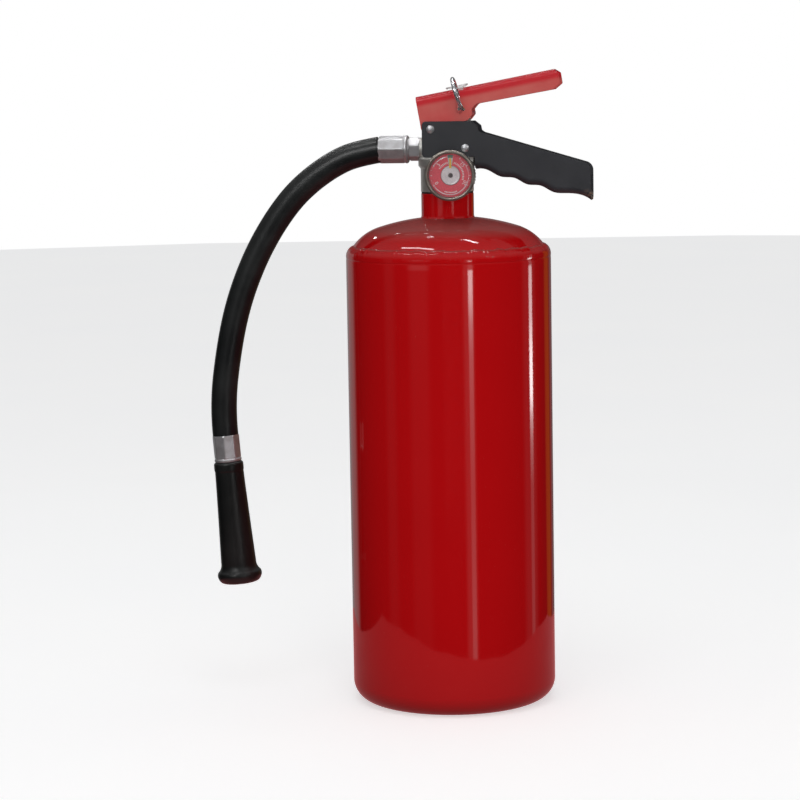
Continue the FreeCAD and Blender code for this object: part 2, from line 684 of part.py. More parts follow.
def hose_insert():
    """Fitting tube screwed into the valve, with a barbed tail inside the ferrule."""
    body = cylinder(6.0, outlet_axis(-12.0), outlet_axis(FERRULE_END + 1.0))
    collar = cylinder(8.6, outlet_axis(FERRULE_START + 1), outlet_axis(FERRULE_START))
    return body.fuse(collar).removeSplitter().cut(cylinder(4.0, outlet_axis(0), outlet_axis(-60)))


def end_rims(bar, centre):
    """Round edges of a bar about one of its end points."""
    return [edge for edge in bar.Edges if edge.Length > 30 and (edge.CenterOfMass - centre).Length < 1e-6]


def ferrule(start, end, bore):
    """Crimped eight-sided sleeve with a rounded collar at its start."""
    axis = (end - start).normalize()
    neck = start + axis * 2.6
    round_bar = cylinder(10.9, neck, end)
    round_bar = round_bar.makeChamfer(0.7, end_rims(round_bar, end))
    body = polygon_bar(8, 10.8, neck, end, 3).common(round_bar)
    collar = cylinder(10.85, start, neck + axis * 0.2)
    collar = collar.makeFillet(0.8, end_rims(collar, start))
    body = body.fuse(collar).removeSplitter()
    return body.cut(cylinder(bore, start - axis, end + axis))


def hose():
    """Rubber hose from the valve fitting to the nozzle, hanging beside the shell."""
    body, path, radii = tube_along(HOSE_ROUTE, HOSE_R, ROUTE_TRIM)
    section = math.pi * HOSE_R ** 2
    print("hose radii", [round(radius, 1) for radius in radii])
    print("hose length", round(path.Length, 1), "volume ratio", round(body.Volume / (section * path.Length), 4))
    return body


def tail_point(distance):
    """Point on the nozzle's axis, at a distance below the end of the hose."""
    lean = math.radians(TAIL_LEAN)
    return HOSE_ROUTE[-1] + V(math.sin(lean), 0, -math.cos(lean)) * distance


def nozzle_insert():
    """Tube that joins the hose's end to the nozzle."""
    return ring(6.0, 4.0, tail_point(1.0), tail_point(NOZZLE_FERRULE + 22))


def nozzle():
    """Hand-held nozzle: collar, tapered grip and flared mouth, with a stepped bore."""
    length = NOZZLE_LENGTH
    sections = [
        (0, 0), (10.9, 0), (11.8, 0.9), (11.9, 6.5), (11.5, 8), (14.0, 80), (14.4, 84),
        (17.6, 89.5), (17.8, 93), (16.9, 95.5), (15.2, 97.2), (12.6, length), (11.6, length),
        (9.0, 78), (6.0, 60), (0, 60),
    ]
    body = lathe(chain(sections))
    body = body.cut(cylinder(6.0, V(0, 0, -1), V(0, 0, 22)))
    body = body.cut(cylinder(4.0, V(0, 0, 20), V(0, 0, 62)))
    start = tail_point(NOZZLE_FERRULE)
    body.Placement = FreeCAD.Placement(start, FreeCAD.Rotation(Z_AXIS, tail_point(length) - tail_point(0)))
    return body


def main():
    os.makedirs("parts", exist_ok=True)
    dome = top_dome()
    nodes = {
        "shell": shell(),
        "top_dome": dome,
        "shoulder_weld": shoulder_weld(dome),
        "neck_collar": neck_collar(),
        "powder_charge": powder_charge(),
        "dip_tube": dip_tube(),
        "dip_tube_adapter": dip_tube_adapter(),
        "valve_body": valve_body(),
        "neck_o_ring": neck_o_ring(),
        "stem_gland": stem_gland(),
        "valve_stem": valve_stem(),
        "stem_seal": stem_seal(),
        "valve_spring": valve_spring(),
        "carry_handle": carry_handle(),
        "squeeze_lever": squeeze_lever(),
        "pivot_rivet": rivet(PIVOT),
        "handle_rivet": rivet(HANDLE_RIVET),
        "safety_pin": safety_pin(),
        "tamper_seal": tamper_seal(),
        "gauge_case": gauge_case(),
        "gauge_seal": gauge_seal(),
        "bourdon_coil": bourdon_coil(),
        "gauge_dial": gauge_dial(),
        "gauge_hub": gauge_hub(),
        "gauge_needle": gauge_needle(),
        "gauge_lens": gauge_lens(),
        "gauge_bezel": gauge_bezel(),
        "outlet_nut": outlet_nut(),
        "hose_washer": hose_washer(),
        "hose_insert": hose_insert(),
        "hose_ferrule": ferrule(outlet_axis(FERRULE_START), outlet_axis(FERRULE_END), 6.0),
        "hose": hose(),
        "nozzle_ferrule": ferrule(tail_point(NOZZLE_FERRULE), tail_point(0), 6.0),
        "nozzle_insert": nozzle_insert(),
        "nozzle": nozzle(),
    }
    for name, shape in nodes.items():
        solids = shape.Solids
        print(name, "valid" if shape.isValid() else "NOT VALID", len(solids), "solids",
              round(shape.Volume / 1000.0, 2), "cm3")
        shape.exportStep("parts/" + name + ".step")


main()
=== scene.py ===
import json
import math

import bmesh
import bpy
from mathutils import Matrix, Vector, noise

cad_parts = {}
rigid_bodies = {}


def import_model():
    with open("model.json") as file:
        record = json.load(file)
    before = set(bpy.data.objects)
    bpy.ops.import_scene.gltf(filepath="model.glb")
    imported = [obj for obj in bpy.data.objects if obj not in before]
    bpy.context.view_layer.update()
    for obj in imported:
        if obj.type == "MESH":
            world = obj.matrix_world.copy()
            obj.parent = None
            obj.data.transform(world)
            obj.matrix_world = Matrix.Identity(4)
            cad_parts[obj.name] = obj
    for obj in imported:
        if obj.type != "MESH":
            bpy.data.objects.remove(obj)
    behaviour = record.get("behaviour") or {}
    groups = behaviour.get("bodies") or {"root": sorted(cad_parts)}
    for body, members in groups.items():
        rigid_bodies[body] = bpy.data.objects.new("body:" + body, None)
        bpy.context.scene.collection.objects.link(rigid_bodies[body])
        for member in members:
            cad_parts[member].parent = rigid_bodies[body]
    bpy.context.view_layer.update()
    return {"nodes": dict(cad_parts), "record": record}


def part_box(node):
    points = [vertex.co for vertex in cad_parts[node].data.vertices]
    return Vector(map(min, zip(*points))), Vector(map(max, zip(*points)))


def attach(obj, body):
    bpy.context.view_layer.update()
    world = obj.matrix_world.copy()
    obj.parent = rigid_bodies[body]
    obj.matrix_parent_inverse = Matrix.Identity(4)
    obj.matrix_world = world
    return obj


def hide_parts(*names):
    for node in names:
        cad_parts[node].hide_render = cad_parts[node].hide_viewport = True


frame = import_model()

# Dry powder fire extinguisher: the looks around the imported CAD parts. Metres, +Z up.
# The handle points to +X, the hose leaves along -X, the gauge looks along -Y.

MM = 0.001


# ---------------------------------------------------------------- camera and hose

CAMERA_AZIMUTH = math.radians(8.0)
CAMERA_DISTANCE = 2.0742      # level distance from the shell's axis
CAMERA_HEIGHT = 0.4902
CAMERA_PITCH = math.radians(6.935)
CAMERA_YAW = math.radians(1.097)
CAMERA_ROLL = math.radians(-0.9785)
LENS_MM = 119.54
SENSOR_MM = 36.0

HOSE_R = 10.25 * MM
HOSE_ROUTE = [
    (-0.053, 0, 0.434), (-0.072, 0, 0.431), (-0.0895, 0, 0.4235), (-0.1075, 0, 0.4115),
    (-0.124, 0, 0.3965), (-0.141, 0, 0.3735), (-0.1555, 0, 0.3475), (-0.1685, 0, 0.315),
    (-0.177, 0, 0.2795), (-0.1836, 0, 0.233), (-0.1817, 0, 0.209),
]
TAIL_LEAN = math.radians(4.5)  # how far the nozzle leans towards the shell


def show(name, data):
    """A new object in the scene."""
    made = bpy.data.objects.new(name, data)
    bpy.context.scene.collection.objects.link(made)
    return made


def place_camera():
    """A long lens a little above the handle's height, turned slightly off the shell's axis."""
    heading = CAMERA_AZIMUTH + CAMERA_YAW
    level = math.cos(CAMERA_PITCH)
    ahead = Vector((-math.sin(heading) * level, math.cos(heading) * level, -math.sin(CAMERA_PITCH)))
    right = Vector((math.cos(heading), math.sin(heading), 0))
    above = right.cross(ahead)
    rolled_right = right * math.cos(CAMERA_ROLL) + above * math.sin(CAMERA_ROLL)
    rolled_above = above * math.cos(CAMERA_ROLL) - right * math.sin(CAMERA_ROLL)
    lens = bpy.data.cameras.new("camera")
    lens.lens = LENS_MM
    lens.sensor_width = SENSOR_MM
    lens.clip_start = 0.05
    lens.clip_end = 60
    camera = show("camera", lens)
    turn = Matrix((rolled_right, rolled_above, -ahead)).transposed().to_4x4()
    spot = Vector((math.sin(CAMERA_AZIMUTH), -math.cos(CAMERA_AZIMUTH), 0)) * CAMERA_DISTANCE
    spot.z = CAMERA_HEIGHT
    camera.matrix_world = Matrix.Translation(spot) @ turn
    bpy.context.scene.camera = camera


def curve_piece(name, points, radius, closed=False):
    """Round bar whose centre line is one smooth spline over the points. Each point has the bar's
    radius, and the bevel takes it whole."""
    curve = bpy.data.curves.new(name, "CURVE")
    curve.dimensions = "3D"
    curve.bevel_depth = 1.0
    curve.bevel_resolution = 10
    curve.resolution_u = 16
    curve.use_fill_caps = not closed
    spline = curve.splines.new("NURBS")
    spline.points.add(len(points) - 1)
    for point, place in zip(spline.points, points):
        point.co = (*place, 1)
        point.radius = radius
    spline.order_u = 3
    if closed:
        spline.use_cyclic_u = True
    else:
        spline.use_endpoint_u = True
    return show(name, curve)


place_camera()
hose = curve_piece("rubber_hose", HOSE_ROUTE, HOSE_R)
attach(hose, "root")
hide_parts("hose")


# ---------------------------------------------------------------- shader writing

class Value:
    """An output of a shader node. Sums written with it add Math nodes to its material."""

    def __init__(self, finish, socket):
        self.finish = finish
        self.socket = socket

    def math(self, operation, *values):
        return self.finish.node("Math", {"operation": operation}, dict(enumerate(values)))

    def through(self, operation):
        """The value after a Math node that takes nothing else."""
        return self.math(operation, self)

    def __add__(self, other):
        return self.math("ADD", self, other)

    def __radd__(self, other):
        return self.math("ADD", other, self)

    def __sub__(self, other):
        return self.math("SUBTRACT", self, other)

    def __rsub__(self, other):
        return self.math("SUBTRACT", other, self)

    def __mul__(self, other):
        return self.math("MULTIPLY", self, other)

    def __rmul__(self, other):
        return self.math("MULTIPLY", other, self)


class Finish:
    """A material: one Principled shader, and the nodes that feed it."""

    def __init__(self, name, **settings):
        self.material = bpy.data.materials.new(name)
        self.material.use_nodes = True
        self.nodes = self.material.node_tree.nodes
        self.links = self.material.node_tree.links
        self.shader = self.nodes["Principled BSDF"]
        for key, value in settings.items():
            self.feed(key.replace("_", " ").title().replace("Ior", "IOR"), value)

    def feed(self, socket_name, value):
        """Sets one of the shader's own sockets, or links it to a node."""
        self.plug(self.shader.inputs[socket_name], value)

    def plug(self, socket, value):
        if isinstance(value, Value):
            self.links.new(value.socket, socket)
        else:
            socket.default_value = value

    def node(self, kind, settings=None, values=None, output=0):
        """Adds a node: its type, its own settings, then its sockets' values or links."""
        made = self.nodes.new("ShaderNode" + kind)
        for key, value in (settings or {}).items():
            if key == "stops":
                ramp = made.color_ramp.elements
                ramp[0].position, ramp[0].color = value[0]
                ramp[1].position, ramp[1].color = value[-1]
                for place, colour in value[1:-1]:
                    ramp.new(place).color = colour
            else:
                setattr(made, key, value)
        for key, value in (values or {}).items():
            self.plug(made.inputs[key], value)
        return Value(self, made.outputs[output])

    def place(self):
        """Where a point is on the piece, in metres."""
        return self.node("TexCoord", output="Object")

    def stretched(self, factors, place=None):
        """The place with each axis scaled, so that a pattern drawn on it is stretched."""
        return self.node("VectorMath", {"operation": "MULTIPLY"}, {0: place or self.place(), 1: factors})

    def grain(self, scale, detail=3.0, roughness=0.55, place=None):
        """Cloudy noise from 0 to 1, finer as the scale grows."""
        values = {"Vector": place or self.place(), "Scale": scale, "Detail": detail, "Roughness": roughness}
        return self.node("TexNoise", None, values)

    def level(self, value, low, high, new_low=0.0, new_high=1.0):
        """A value between low and high spread smoothly over a new range."""
        values = {"Value": value, 1: low, 2: high, 3: new_low, 4: new_high}
        return self.node("MapRange", {"interpolation_type": "SMOOTHSTEP"}, values)

    def blend(self, share, first, second):
        """A colour between two, by a share from 0 to 1."""
        return self.node("Mix", {"data_type": "RGBA"}, {0: share, 6: first, 7: second}, output=2)

    def axis(self, name):
        """One part of the place: X, Y or Z."""
        return self.node("SeparateXYZ", None, {0: self.place()}, output=name)

    def facing(self, name):
        """One part of the surface's own direction."""
        return self.node("SeparateXYZ", None, {0: self.node("NewGeometry", output="Normal")}, output=name)

    def relief(self, height, normal=None):
        """Feeds the Normal from a height in millimetres."""
        values = {"Height": height, "Strength": 1.0, "Distance": MM}
        if normal is not None:
            values["Normal"] = normal
        self.feed("Normal", self.node("Bump", None, values))

    def soft_edges(self, radius):
        """Normals that turn over a sheet's edges as if they were broken by hand."""
        return self.node("Bevel", {"samples": 4}, {"Radius": radius})


def colour(red, green, blue):
    return (red, green, blue, 1.0)


# ---------------------------------------------------------------- finishes

LEVER_SLOPE = 0.185            # how fast the lever's top rises towards its tip


def gloss_red():
    """Baked red enamel with a clear skin, a faint orange peel, a few dust specks, and a pale cast on upward
    faces that is partly dust and partly painted sheen.
    """
    finish = Finish("gloss_red", coat_roughness=0.05, specular_ior_level=0.0)
    cloud = finish.grain(9.0, 2.0)
    base = finish.blend(cloud, colour(0.52, 0.0030, 0.0045), colour(0.58, 0.0045, 0.0065))
    specks = finish.level(finish.grain(900.0, 1.0), 0.76, 0.80)
    speckled = finish.blend(specks * 0.3, base, colour(0.55, 0.10, 0.09))
    upward = finish.facing("Z")
    patches = finish.level(finish.grain(26.0, 4.0), 0.2, 0.7, 0.6, 1.0)
    # Partly dust, partly painted sheen: upward faces blend towards pale pinkish grey, standing in for the
    # paler ceiling mirrored on the crown.
    dust_and_sheen = finish.level(upward, 0.72, 0.99) * patches
    finish.feed("Base Color", finish.blend(dust_and_sheen * 0.75, speckled, colour(0.36, 0.115, 0.105)))
    finish.feed("Coat Weight", 1.0 - finish.level(upward, 0.45, 0.92) * 0.75)
    finish.feed("Roughness", 0.26 + cloud * 0.1)
    peel = finish.grain(420.0, 2.0, 0.4)
    waves = finish.grain(22.0, 1.0, 0.3, finish.stretched((1.0, 1.0, 0.35)))
    height = peel * 0.014 + waves * 0.12
    finish.relief(height)
    return finish.material


def lever_red():
    """Satin red on the squeeze lever, its flat flanks a pale chalky red that is partly chalking and partly
    painted sheen, and polished by hands on top.
    """
    finish = Finish("lever_red", specular_ior_level=0.35)
    cloud = finish.grain(60.0, 3.0)
    side = finish.facing("Y").through("ABSOLUTE")
    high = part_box("squeeze_lever")[1]
    top = high.z - (high.x - finish.axis("X")) * LEVER_SLOPE
    flank = finish.level(top - finish.axis("Z"), 0.0045, 0.0085, 0.1, 1.0)
    patches = finish.level(finish.grain(38.0, 3.0), 0.25, 0.65, 0.55, 1.0)
    # Partly chalking, partly painted sheen: the flat flanks that face sideways turn pale, standing in for
    # the light they reflect.
    chalk_and_sheen = finish.level(side, 0.93, 0.995) * flank * patches
    fresh = finish.blend(cloud, colour(0.62, 0.008, 0.020), colour(0.70, 0.014, 0.028))
    # Pale flank red: chalked paint and painted sheen together.
    chalk_sheen_red = finish.blend(cloud, colour(0.60, 0.100, 0.088), colour(0.70, 0.145, 0.125))
    scuff = finish.level(finish.grain(150.0, 4.0, 0.7, finish.stretched((1.0, 1.0, 4.0))), 0.66, 0.74)
    painted = finish.blend(chalk_and_sheen, fresh, chalk_sheen_red)
    finish.feed("Base Color", finish.blend(scuff * 0.25, painted, colour(0.60, 0.22, 0.19)))
    finish.feed("Roughness", finish.level(chalk_and_sheen, 0.0, 1.0, 0.30, 0.52))
    height = finish.grain(1600.0, 2.0) * 0.020
    finish.relief(height, finish.soft_edges(0.0006))
    return finish.material


def handle_black():
    """Fine-textured black powder coat, rubbed through at the grip's tip."""
    finish = Finish("handle_black", specular_ior_level=0.5)
    low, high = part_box("carry_handle")
    cloud = finish.grain(45.0, 3.0)
    base = finish.blend(cloud, colour(0.024, 0.025, 0.030), colour(0.038, 0.039, 0.045))
    at_tip = finish.level(finish.axis("X"), high.x - 0.009, high.x - 0.002)
    low_down = finish.level(finish.axis("Z"), low.z + 0.010, low.z + 0.003)
    rubbed = at_tip * low_down * finish.level(finish.grain(330.0, 4.0, 0.7), 0.45, 0.60)
    finish.feed("Base Color", finish.blend(rubbed * 0.8, base, colour(0.23, 0.13, 0.08)))
    finish.feed("Roughness", finish.level(cloud, 0.2, 0.8, 0.40, 0.52))
    height = finish.grain(1300.0, 3.0, 0.6) * 0.05
    finish.relief(height, finish.soft_edges(0.0007))
    return finish.material


def cast_alloy():
    """Die-cast valve body: pale grey skin with fine pits and darker stains."""
    finish = Finish("cast_alloy", metallic=0.7)
    stain = finish.grain(70.0, 4.0, 0.6)
    base = finish.blend(finish.level(stain, 0.35, 0.7), colour(0.66, 0.65, 0.62), colour(0.50, 0.49, 0.46))
    finish.feed("Base Color", base)
    finish.feed("Roughness", finish.level(stain, 0.2, 0.8, 0.30, 0.44))
    pits = finish.grain(900.0, 4.0, 0.65)
    finish.relief(pits * 0.06, finish.soft_edges(0.0006))
    return finish.material


def plated_steel(name, low, high, roughness, along):
    """Zinc-plated steel, its drawing marks running along one axis."""
    finish = Finish(name, metallic=0.8)
    marks = finish.grain(1400.0, 3.0, 0.6, finish.stretched(along))
    tarnish = finish.grain(110.0, 3.0)
    worn = finish.level(tarnish, 0.3, 0.75)
    finish.feed("Base Color", finish.blend(worn, colour(*low), colour(*high)))
    finish.feed("Roughness", roughness + (marks - 0.5) * 0.14)
    finish.relief(marks * 0.018 + tarnish * 0.03, finish.soft_edges(0.0004))
    return finish.material


def polished_steel(name, tone, roughness):
    """Bright plated steel with hairline scratches."""
    finish = Finish(name, metallic=0.9)
    hair = finish.grain(700.0, 4.0, 0.7, finish.stretched((1.0, 0.15, 1.0)))
    shade = tuple(0.82 * part for part in tone)
    finish.feed("Base Color", finish.blend(finish.level(hair, 0.35, 0.7), colour(*tone), colour(*shade)))
    finish.feed("Roughness", roughness + hair * 0.08)
    finish.relief(hair * 0.012)
    return finish.material


GAUGE_CENTRE = (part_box("gauge_bezel")[0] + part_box("gauge_bezel")[1]) / 2


def gauge_radius(finish):
    """Distance of a point from the gauge's axis."""
    offset = finish.node("VectorMath", {"operation": "SUBTRACT"}, {0: finish.place(), 1: GAUGE_CENTRE})
    flat = finish.node("VectorMath", {"operation": "MULTIPLY"}, {0: offset, 1: (1, 0, 1)})
    return finish.node("VectorMath", {"operation": "LENGTH"}, {0: flat}, output="Value")


def spun_disc():
    """Turned aluminium: rings about the gauge's axis, and painted shade for the rivet hole in its middle.
    """
    finish = Finish("spun_disc", metallic=0.35)
    radius = gauge_radius(finish)
    rings = (radius * 9500.0).through("SINE") * 0.5 + 0.5
    mottle = finish.grain(500.0, 3.0)
    bright = finish.blend(mottle, colour(0.60, 0.56, 0.57), colour(0.88, 0.84, 0.86))
    # Painted shade: the middle is painted near-black, standing in for the shade inside the rivet hole.
    painted_hole_shade = finish.level(radius, 0.0014, 0.0021, 1.0, 0.0)
    finish.feed("Base Color", finish.blend(painted_hole_shade, bright, colour(0.06, 0.05, 0.05)))
    finish.feed("Roughness", 0.30 + mottle * 0.12)
    finish.relief(rings * 0.03 + mottle * 0.03)
    return finish.material


def rubber(name, dark, light, roughness, grain_scale, depth):
    """Black rubber with a faint bloom and a moulded or wrapped grain."""
    finish = Finish(name, specular_ior_level=0.45)
    bloom = finish.grain(30.0, 4.0, 0.6)
    finish.feed("Base Color", finish.blend(finish.level(bloom, 0.3, 0.75), colour(*dark), colour(*light)))
    finish.feed("Roughness", finish.level(bloom, 0.2, 0.8, roughness - 0.05, roughness + 0.07))
    finish.relief(finish.grain(grain_scale, 3.0, 0.6) * depth)
    return finish.material


def printed(name, tone, roughness=0.45):
    """Printing ink on the dial, a little uneven."""
    finish = Finish(name)
    cloud = finish.grain(800.0, 3.0)
    shade = tuple(0.85 * part for part in tone)
    finish.feed("Base Color", finish.blend(finish.level(cloud, 0.3, 0.7), colour(*tone), colour(*shade)))
    finish.feed("Roughness", roughness + cloud * 0.1)
    return finish.material


def plain_metal(name, tone, roughness):
    """Turned brass, bronze or spring wire inside the valve."""
    finish = Finish(name, metallic=1.0)
    marks = finish.grain(600.0, 3.0, 0.6, finish.stretched((0.2, 0.2, 2.0)))
    shade = tuple(0.8 * part for part in tone)
    finish.feed("Base Color", finish.blend(marks, colour(*tone), colour(*shade)))
    finish.feed("Roughness", roughness + marks * 0.1)
    finish.relief(marks * 0.02)
    return finish.material


def plain_plastic(name, tone, roughness):
    """Moulded plastic or packed powder inside the shell."""
    finish = Finish(name)
    cloud = finish.grain(220.0, 4.0)
    shade = tuple(0.9 * part for part in tone)
    finish.feed("Base Color", finish.blend(cloud, colour(*tone), colour(*shade)))
    finish.feed("Roughness", roughness + cloud * 0.08)
    finish.relief(cloud * 0.05)
    return finish.material


def clear_cap(name, tint, haze, edge_reflection, ring=None):
    """Clear plastic: see-through face on, pale where it turns away or along a moulded ring; both pale marks
    are painted reflection.
    """
    finish = Finish(name, base_color=colour(*tint), specular_ior_level=0.6)
    scuffs = finish.grain(260.0, 4.0, 0.65)
    finish.feed("Roughness", 0.05 + scuffs * 0.05)
    # Painted reflection: the share of pale surface grows towards grazing, standing in for the plastic's
    # reflection.
    rim = finish.node("LayerWeight", None, {"Blend": 0.35}, output="Facing")
    share = finish.level(rim, 0.15, 1.0, haze, edge_reflection)
    # Painted reflection: a pale ring on the window's shoulder, standing in for its reflected light.
    if ring:
        radius = gauge_radius(finish)
        inside = finish.level(radius, ring, ring + 0.0004)
        outside = finish.level(radius, ring + 0.0006, ring + 0.0012, 1.0, 0.0)
        share = share + inside * outside * finish.level(finish.grain(55.0, 1.0), 0.42, 0.62) * 0.55
    clear = finish.node("BsdfTransparent")
    surface = Value(finish, finish.shader.outputs[0])
    mixed = finish.node("MixShader", None, {0: share, 1: clear, 2: surface})
    output = finish.nodes["Material Output"]
    finish.plug(output.inputs["Surface"], mixed)
    return finish.material


FINISHES = {
    "red_paint": gloss_red(),
    "lever_paint": lever_red(),
    "black_paint": handle_black(),
    "powder": plain_plastic("packed_powder", (0.60, 0.66, 0.80), 0.85),
    "white_plastic": plain_plastic("white_tube", (0.75, 0.75, 0.70), 0.5),
    "brass": plain_metal("turned_brass", (0.78, 0.55, 0.24), 0.28),
    "bronze": plain_metal("drawn_bronze", (0.62, 0.36, 0.17), 0.3),
    "valve_metal": cast_alloy(),
    "fitting_metal": plated_steel(
        "fitting_zinc", (0.66, 0.66, 0.68), (0.50, 0.49, 0.50), 0.40, (0.1, 1.0, 1.0)),
    "gauge_steel": plated_steel(
        "gauge_steel", (0.36, 0.33, 0.29), (0.25, 0.22, 0.19), 0.32, (1.0, 0.1, 1.0)),
    "rivet_steel": polished_steel("rivet_steel", (0.92, 0.93, 0.96), 0.42),
    "pin_steel": polished_steel("pin_wire", (0.78, 0.79, 0.82), 0.16),
    "spring_steel": plain_metal("spring_wire", (0.55, 0.55, 0.58), 0.3),
    "hub_metal": spun_disc(),
    "black_rubber": rubber(
        "seal_rubber", (0.010, 0.010, 0.010), (0.022, 0.022, 0.021), 0.55, 900.0, 0.03),
    "hose_rubber": rubber(
        "hose_rubber", (0.007, 0.008, 0.0085), (0.016, 0.018, 0.018), 0.34, 1500.0, 0.05),
    "nozzle_plastic": rubber(
        "nozzle_rubber", (0.005, 0.006, 0.006), (0.011, 0.012, 0.012), 0.36, 1100.0, 0.035),
    "dial_face": printed("dial_red", (0.72, 0.050, 0.080)),
    "needle_paint": printed("needle_yellow", (0.78, 0.46, 0.03), 0.35),
    "clear_lens": clear_cap("clear_lens", (0.95, 0.84, 0.87), 0.04, 0.60, 0.0138),
    "clear_plastic": clear_cap("clear_tie", (0.80, 0.82, 0.82), 0.30, 0.85),
}
DIAL_INKS = {
    "white": printed("ink_white", (0.80, 0.72, 0.72)),
    "pale": printed("ink_pale", (0.50, 0.55, 0.50)),
    "green": printed("ink_green", (0.05, 0.17, 0.12)),
}


def coat(data, material):
    """Makes a material the only one on a mesh or curve."""
    data.materials.clear()
    data.materials.append(material)


def paint(piece, slot):
    """Gives a piece the finish of one of the record's material slots."""
    coat(piece.data, FINISHES[slot])


for row in frame["record"]["subparts"]:
    paint(frame["nodes"][row["node"]], row["material_slot"])
paint(hose, "hose_rubber")


# ---------------------------------------------------------------- mesh writing

def mesh_of(name, made):
    """Ends the writing of a mesh."""
    mesh = bpy.data.meshes.new(name)
    made.to_mesh(mesh)
    made.free()
    return mesh


def add_piece(name, mesh, body, slot, *nodes):
    """A finished mesh as a piece that rides on a body and stands for CAD nodes."""
    piece = show(name, mesh)
    paint(piece, slot)
    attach(piece, body)
    if nodes:
        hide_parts(*nodes)
    return piece


def arc_points(start, middle, end, steps):
    """Points on the circle through three, from the first up to but without the last."""
    (ax, ay), (bx, by), (cx, cy) = start, middle, end
    twice = 2 * (ax * (by - cy) + bx * (cy - ay) + cx * (ay - by))
    sums = [x * x + y * y for x, y in (start, middle, end)]
    x = (sums[0] * (by - cy) + sums[1] * (cy - ay) + sums[2] * (ay - by)) / twice
    y = (sums[0] * (cx - bx) + sums[1] * (ax - cx) + sums[2] * (bx - ax)) / twice
    first = math.atan2(ay - y, ax - x)
    half = (math.atan2(by - y, bx - x) - first + math.pi) % (2 * math.pi) - math.pi
    rest = (math.atan2(cy - y, cx - x) - first - half + math.pi) % (2 * math.pi) - math.pi
    radius = math.hypot(ax - x, ay - y)
    angles = [first + (half + rest) * k / steps for k in range(steps)]
    return [(x + radius * math.cos(a), y + radius * math.sin(a)) for a in angles]


def rounded(corners, steps=5):
    """Outline through corners (x, y, radius), each corner with its own rounding."""
    points = []
    for k, (x, y, radius) in enumerate(corners):
        here = Vector((x, y))
        if radius == 0 or k == 0 or k == len(corners) - 1:
            points.append((x, y))
            continue
        back = (Vector(corners[k - 1][:2]) - here).normalized()
        ahead = (Vector(corners[k + 1][:2]) - here).normalized()
        half = back.angle(ahead) / 2
        reach = radius / math.tan(half)
        first = here + back * reach
        last = here + ahead * reach
        middle = here + (back + ahead).normalized() * (radius / math.sin(half) - radius)
        points += arc_points(first, middle, last, steps)
        points.append(tuple(last))
    return points


def turned(name, outline, segments, frame_matrix=None, shape=None, closed=False):
    """Solid of revolution about Z from an outline of (radius, height) in millimetres.
    shape(angle, radius, height) may change a point's radius and height."""
    made = bmesh.new()
    rings = []
    for radius, height in outline:
        if radius == 0:
            rings.append([made.verts.new((0, 0, height * MM))])
            continue
        ring = []
        for k in range(segments):
            angle = 2 * math.pi * k / segments
            r, h = shape(angle, radius, height) if shape else (radius, height)
            ring.append(made.verts.new((r * MM * math.cos(angle), r * MM * math.sin(angle), h * MM)))
        rings.append(ring)
    pairs = list(zip(rings, rings[1:]))
    if closed:
        pairs.append((rings[-1], rings[0]))
    for low, high in pairs:
        for k in range(segments):
            after = (k + 1) % segments
            if len(low) == 1 and len(high) == 1:
                continue
            if len(low) == 1:
                made.faces.new((low[0], high[after], high[k]))
            elif len(high) == 1:
                made.faces.new((low[k], low[after], high[0]))
            else:
                made.faces.new((low[k], low[after], high[after], high[k]))
    bmesh.ops.recalc_face_normals(made, faces=made.faces)
    if frame_matrix is not None:
        bmesh.ops.transform(made, matrix=frame_matrix, verts=made.verts)
    mesh = mesh_of(name, made)
    for face in mesh.polygons:
        face.use_smooth = True
    return mesh


def crease(mesh, degrees):
    """Keeps edges sharper than an angle crisp under smooth shading."""
    mesh.set_sharp_from_angle(angle=math.radians(degrees))
    return mesh


def along(start, end):
    """Frame whose Z runs from start towards end."""
    axis = (Vector(end) - Vector(start)).normalized()
    return Matrix.Translation(Vector(start)) @ axis.to_track_quat("Z", "Y").to_matrix().to_4x4()


# ---------------------------------------------------------------- pressure vessel

SHELL_R = 80.0
WALL = 1.5
BASE_CORNER = 16.0
BASE_DISH = 5.0
SHELL_TOP = 350.0
BEAD_TOP = (74.5, 359.5)
NECK_R = 20.5
NECK_BORE = 15.0
NECK_FOOT = 370.0
NECK_TOP = 400.0


def shell_outline():
    """Half section of the shell: dish, foot, corner, side and cut edge, then the inside back."""
    foot = SHELL_R - BASE_CORNER
    bend = BASE_CORNER * (1 - math.sqrt(0.5))
    inner = SHELL_R - WALL
    points = [(0, BASE_DISH), (10, BASE_DISH)]
    points += arc_points((20, BASE_DISH), (42, BASE_DISH * 0.72), (foot - 5, 0), 16)
    points += [(foot - 5, 0), (foot - 2, 0)]
    points += arc_points((foot, 0), (SHELL_R - bend, bend), (SHELL_R, BASE_CORNER), 24)
    points += [(SHELL_R, BASE_CORNER + (SHELL_TOP - 1.2 - BASE_CORNER) * k / 60) for k in range(61)]
    points += [(SHELL_R - 0.06, SHELL_TOP - 0.8), (SHELL_R - 0.22, SHELL_TOP - 0.3)]
    points += [(SHELL_R - 0.25, SHELL_TOP + 0.3), (inner, SHELL_TOP + 0.3)]
    points += [(inner, BASE_CORNER + 4), (inner - 5, BASE_CORNER - 10), (foot, WALL), (0, BASE_DISH + WALL)]
    return points


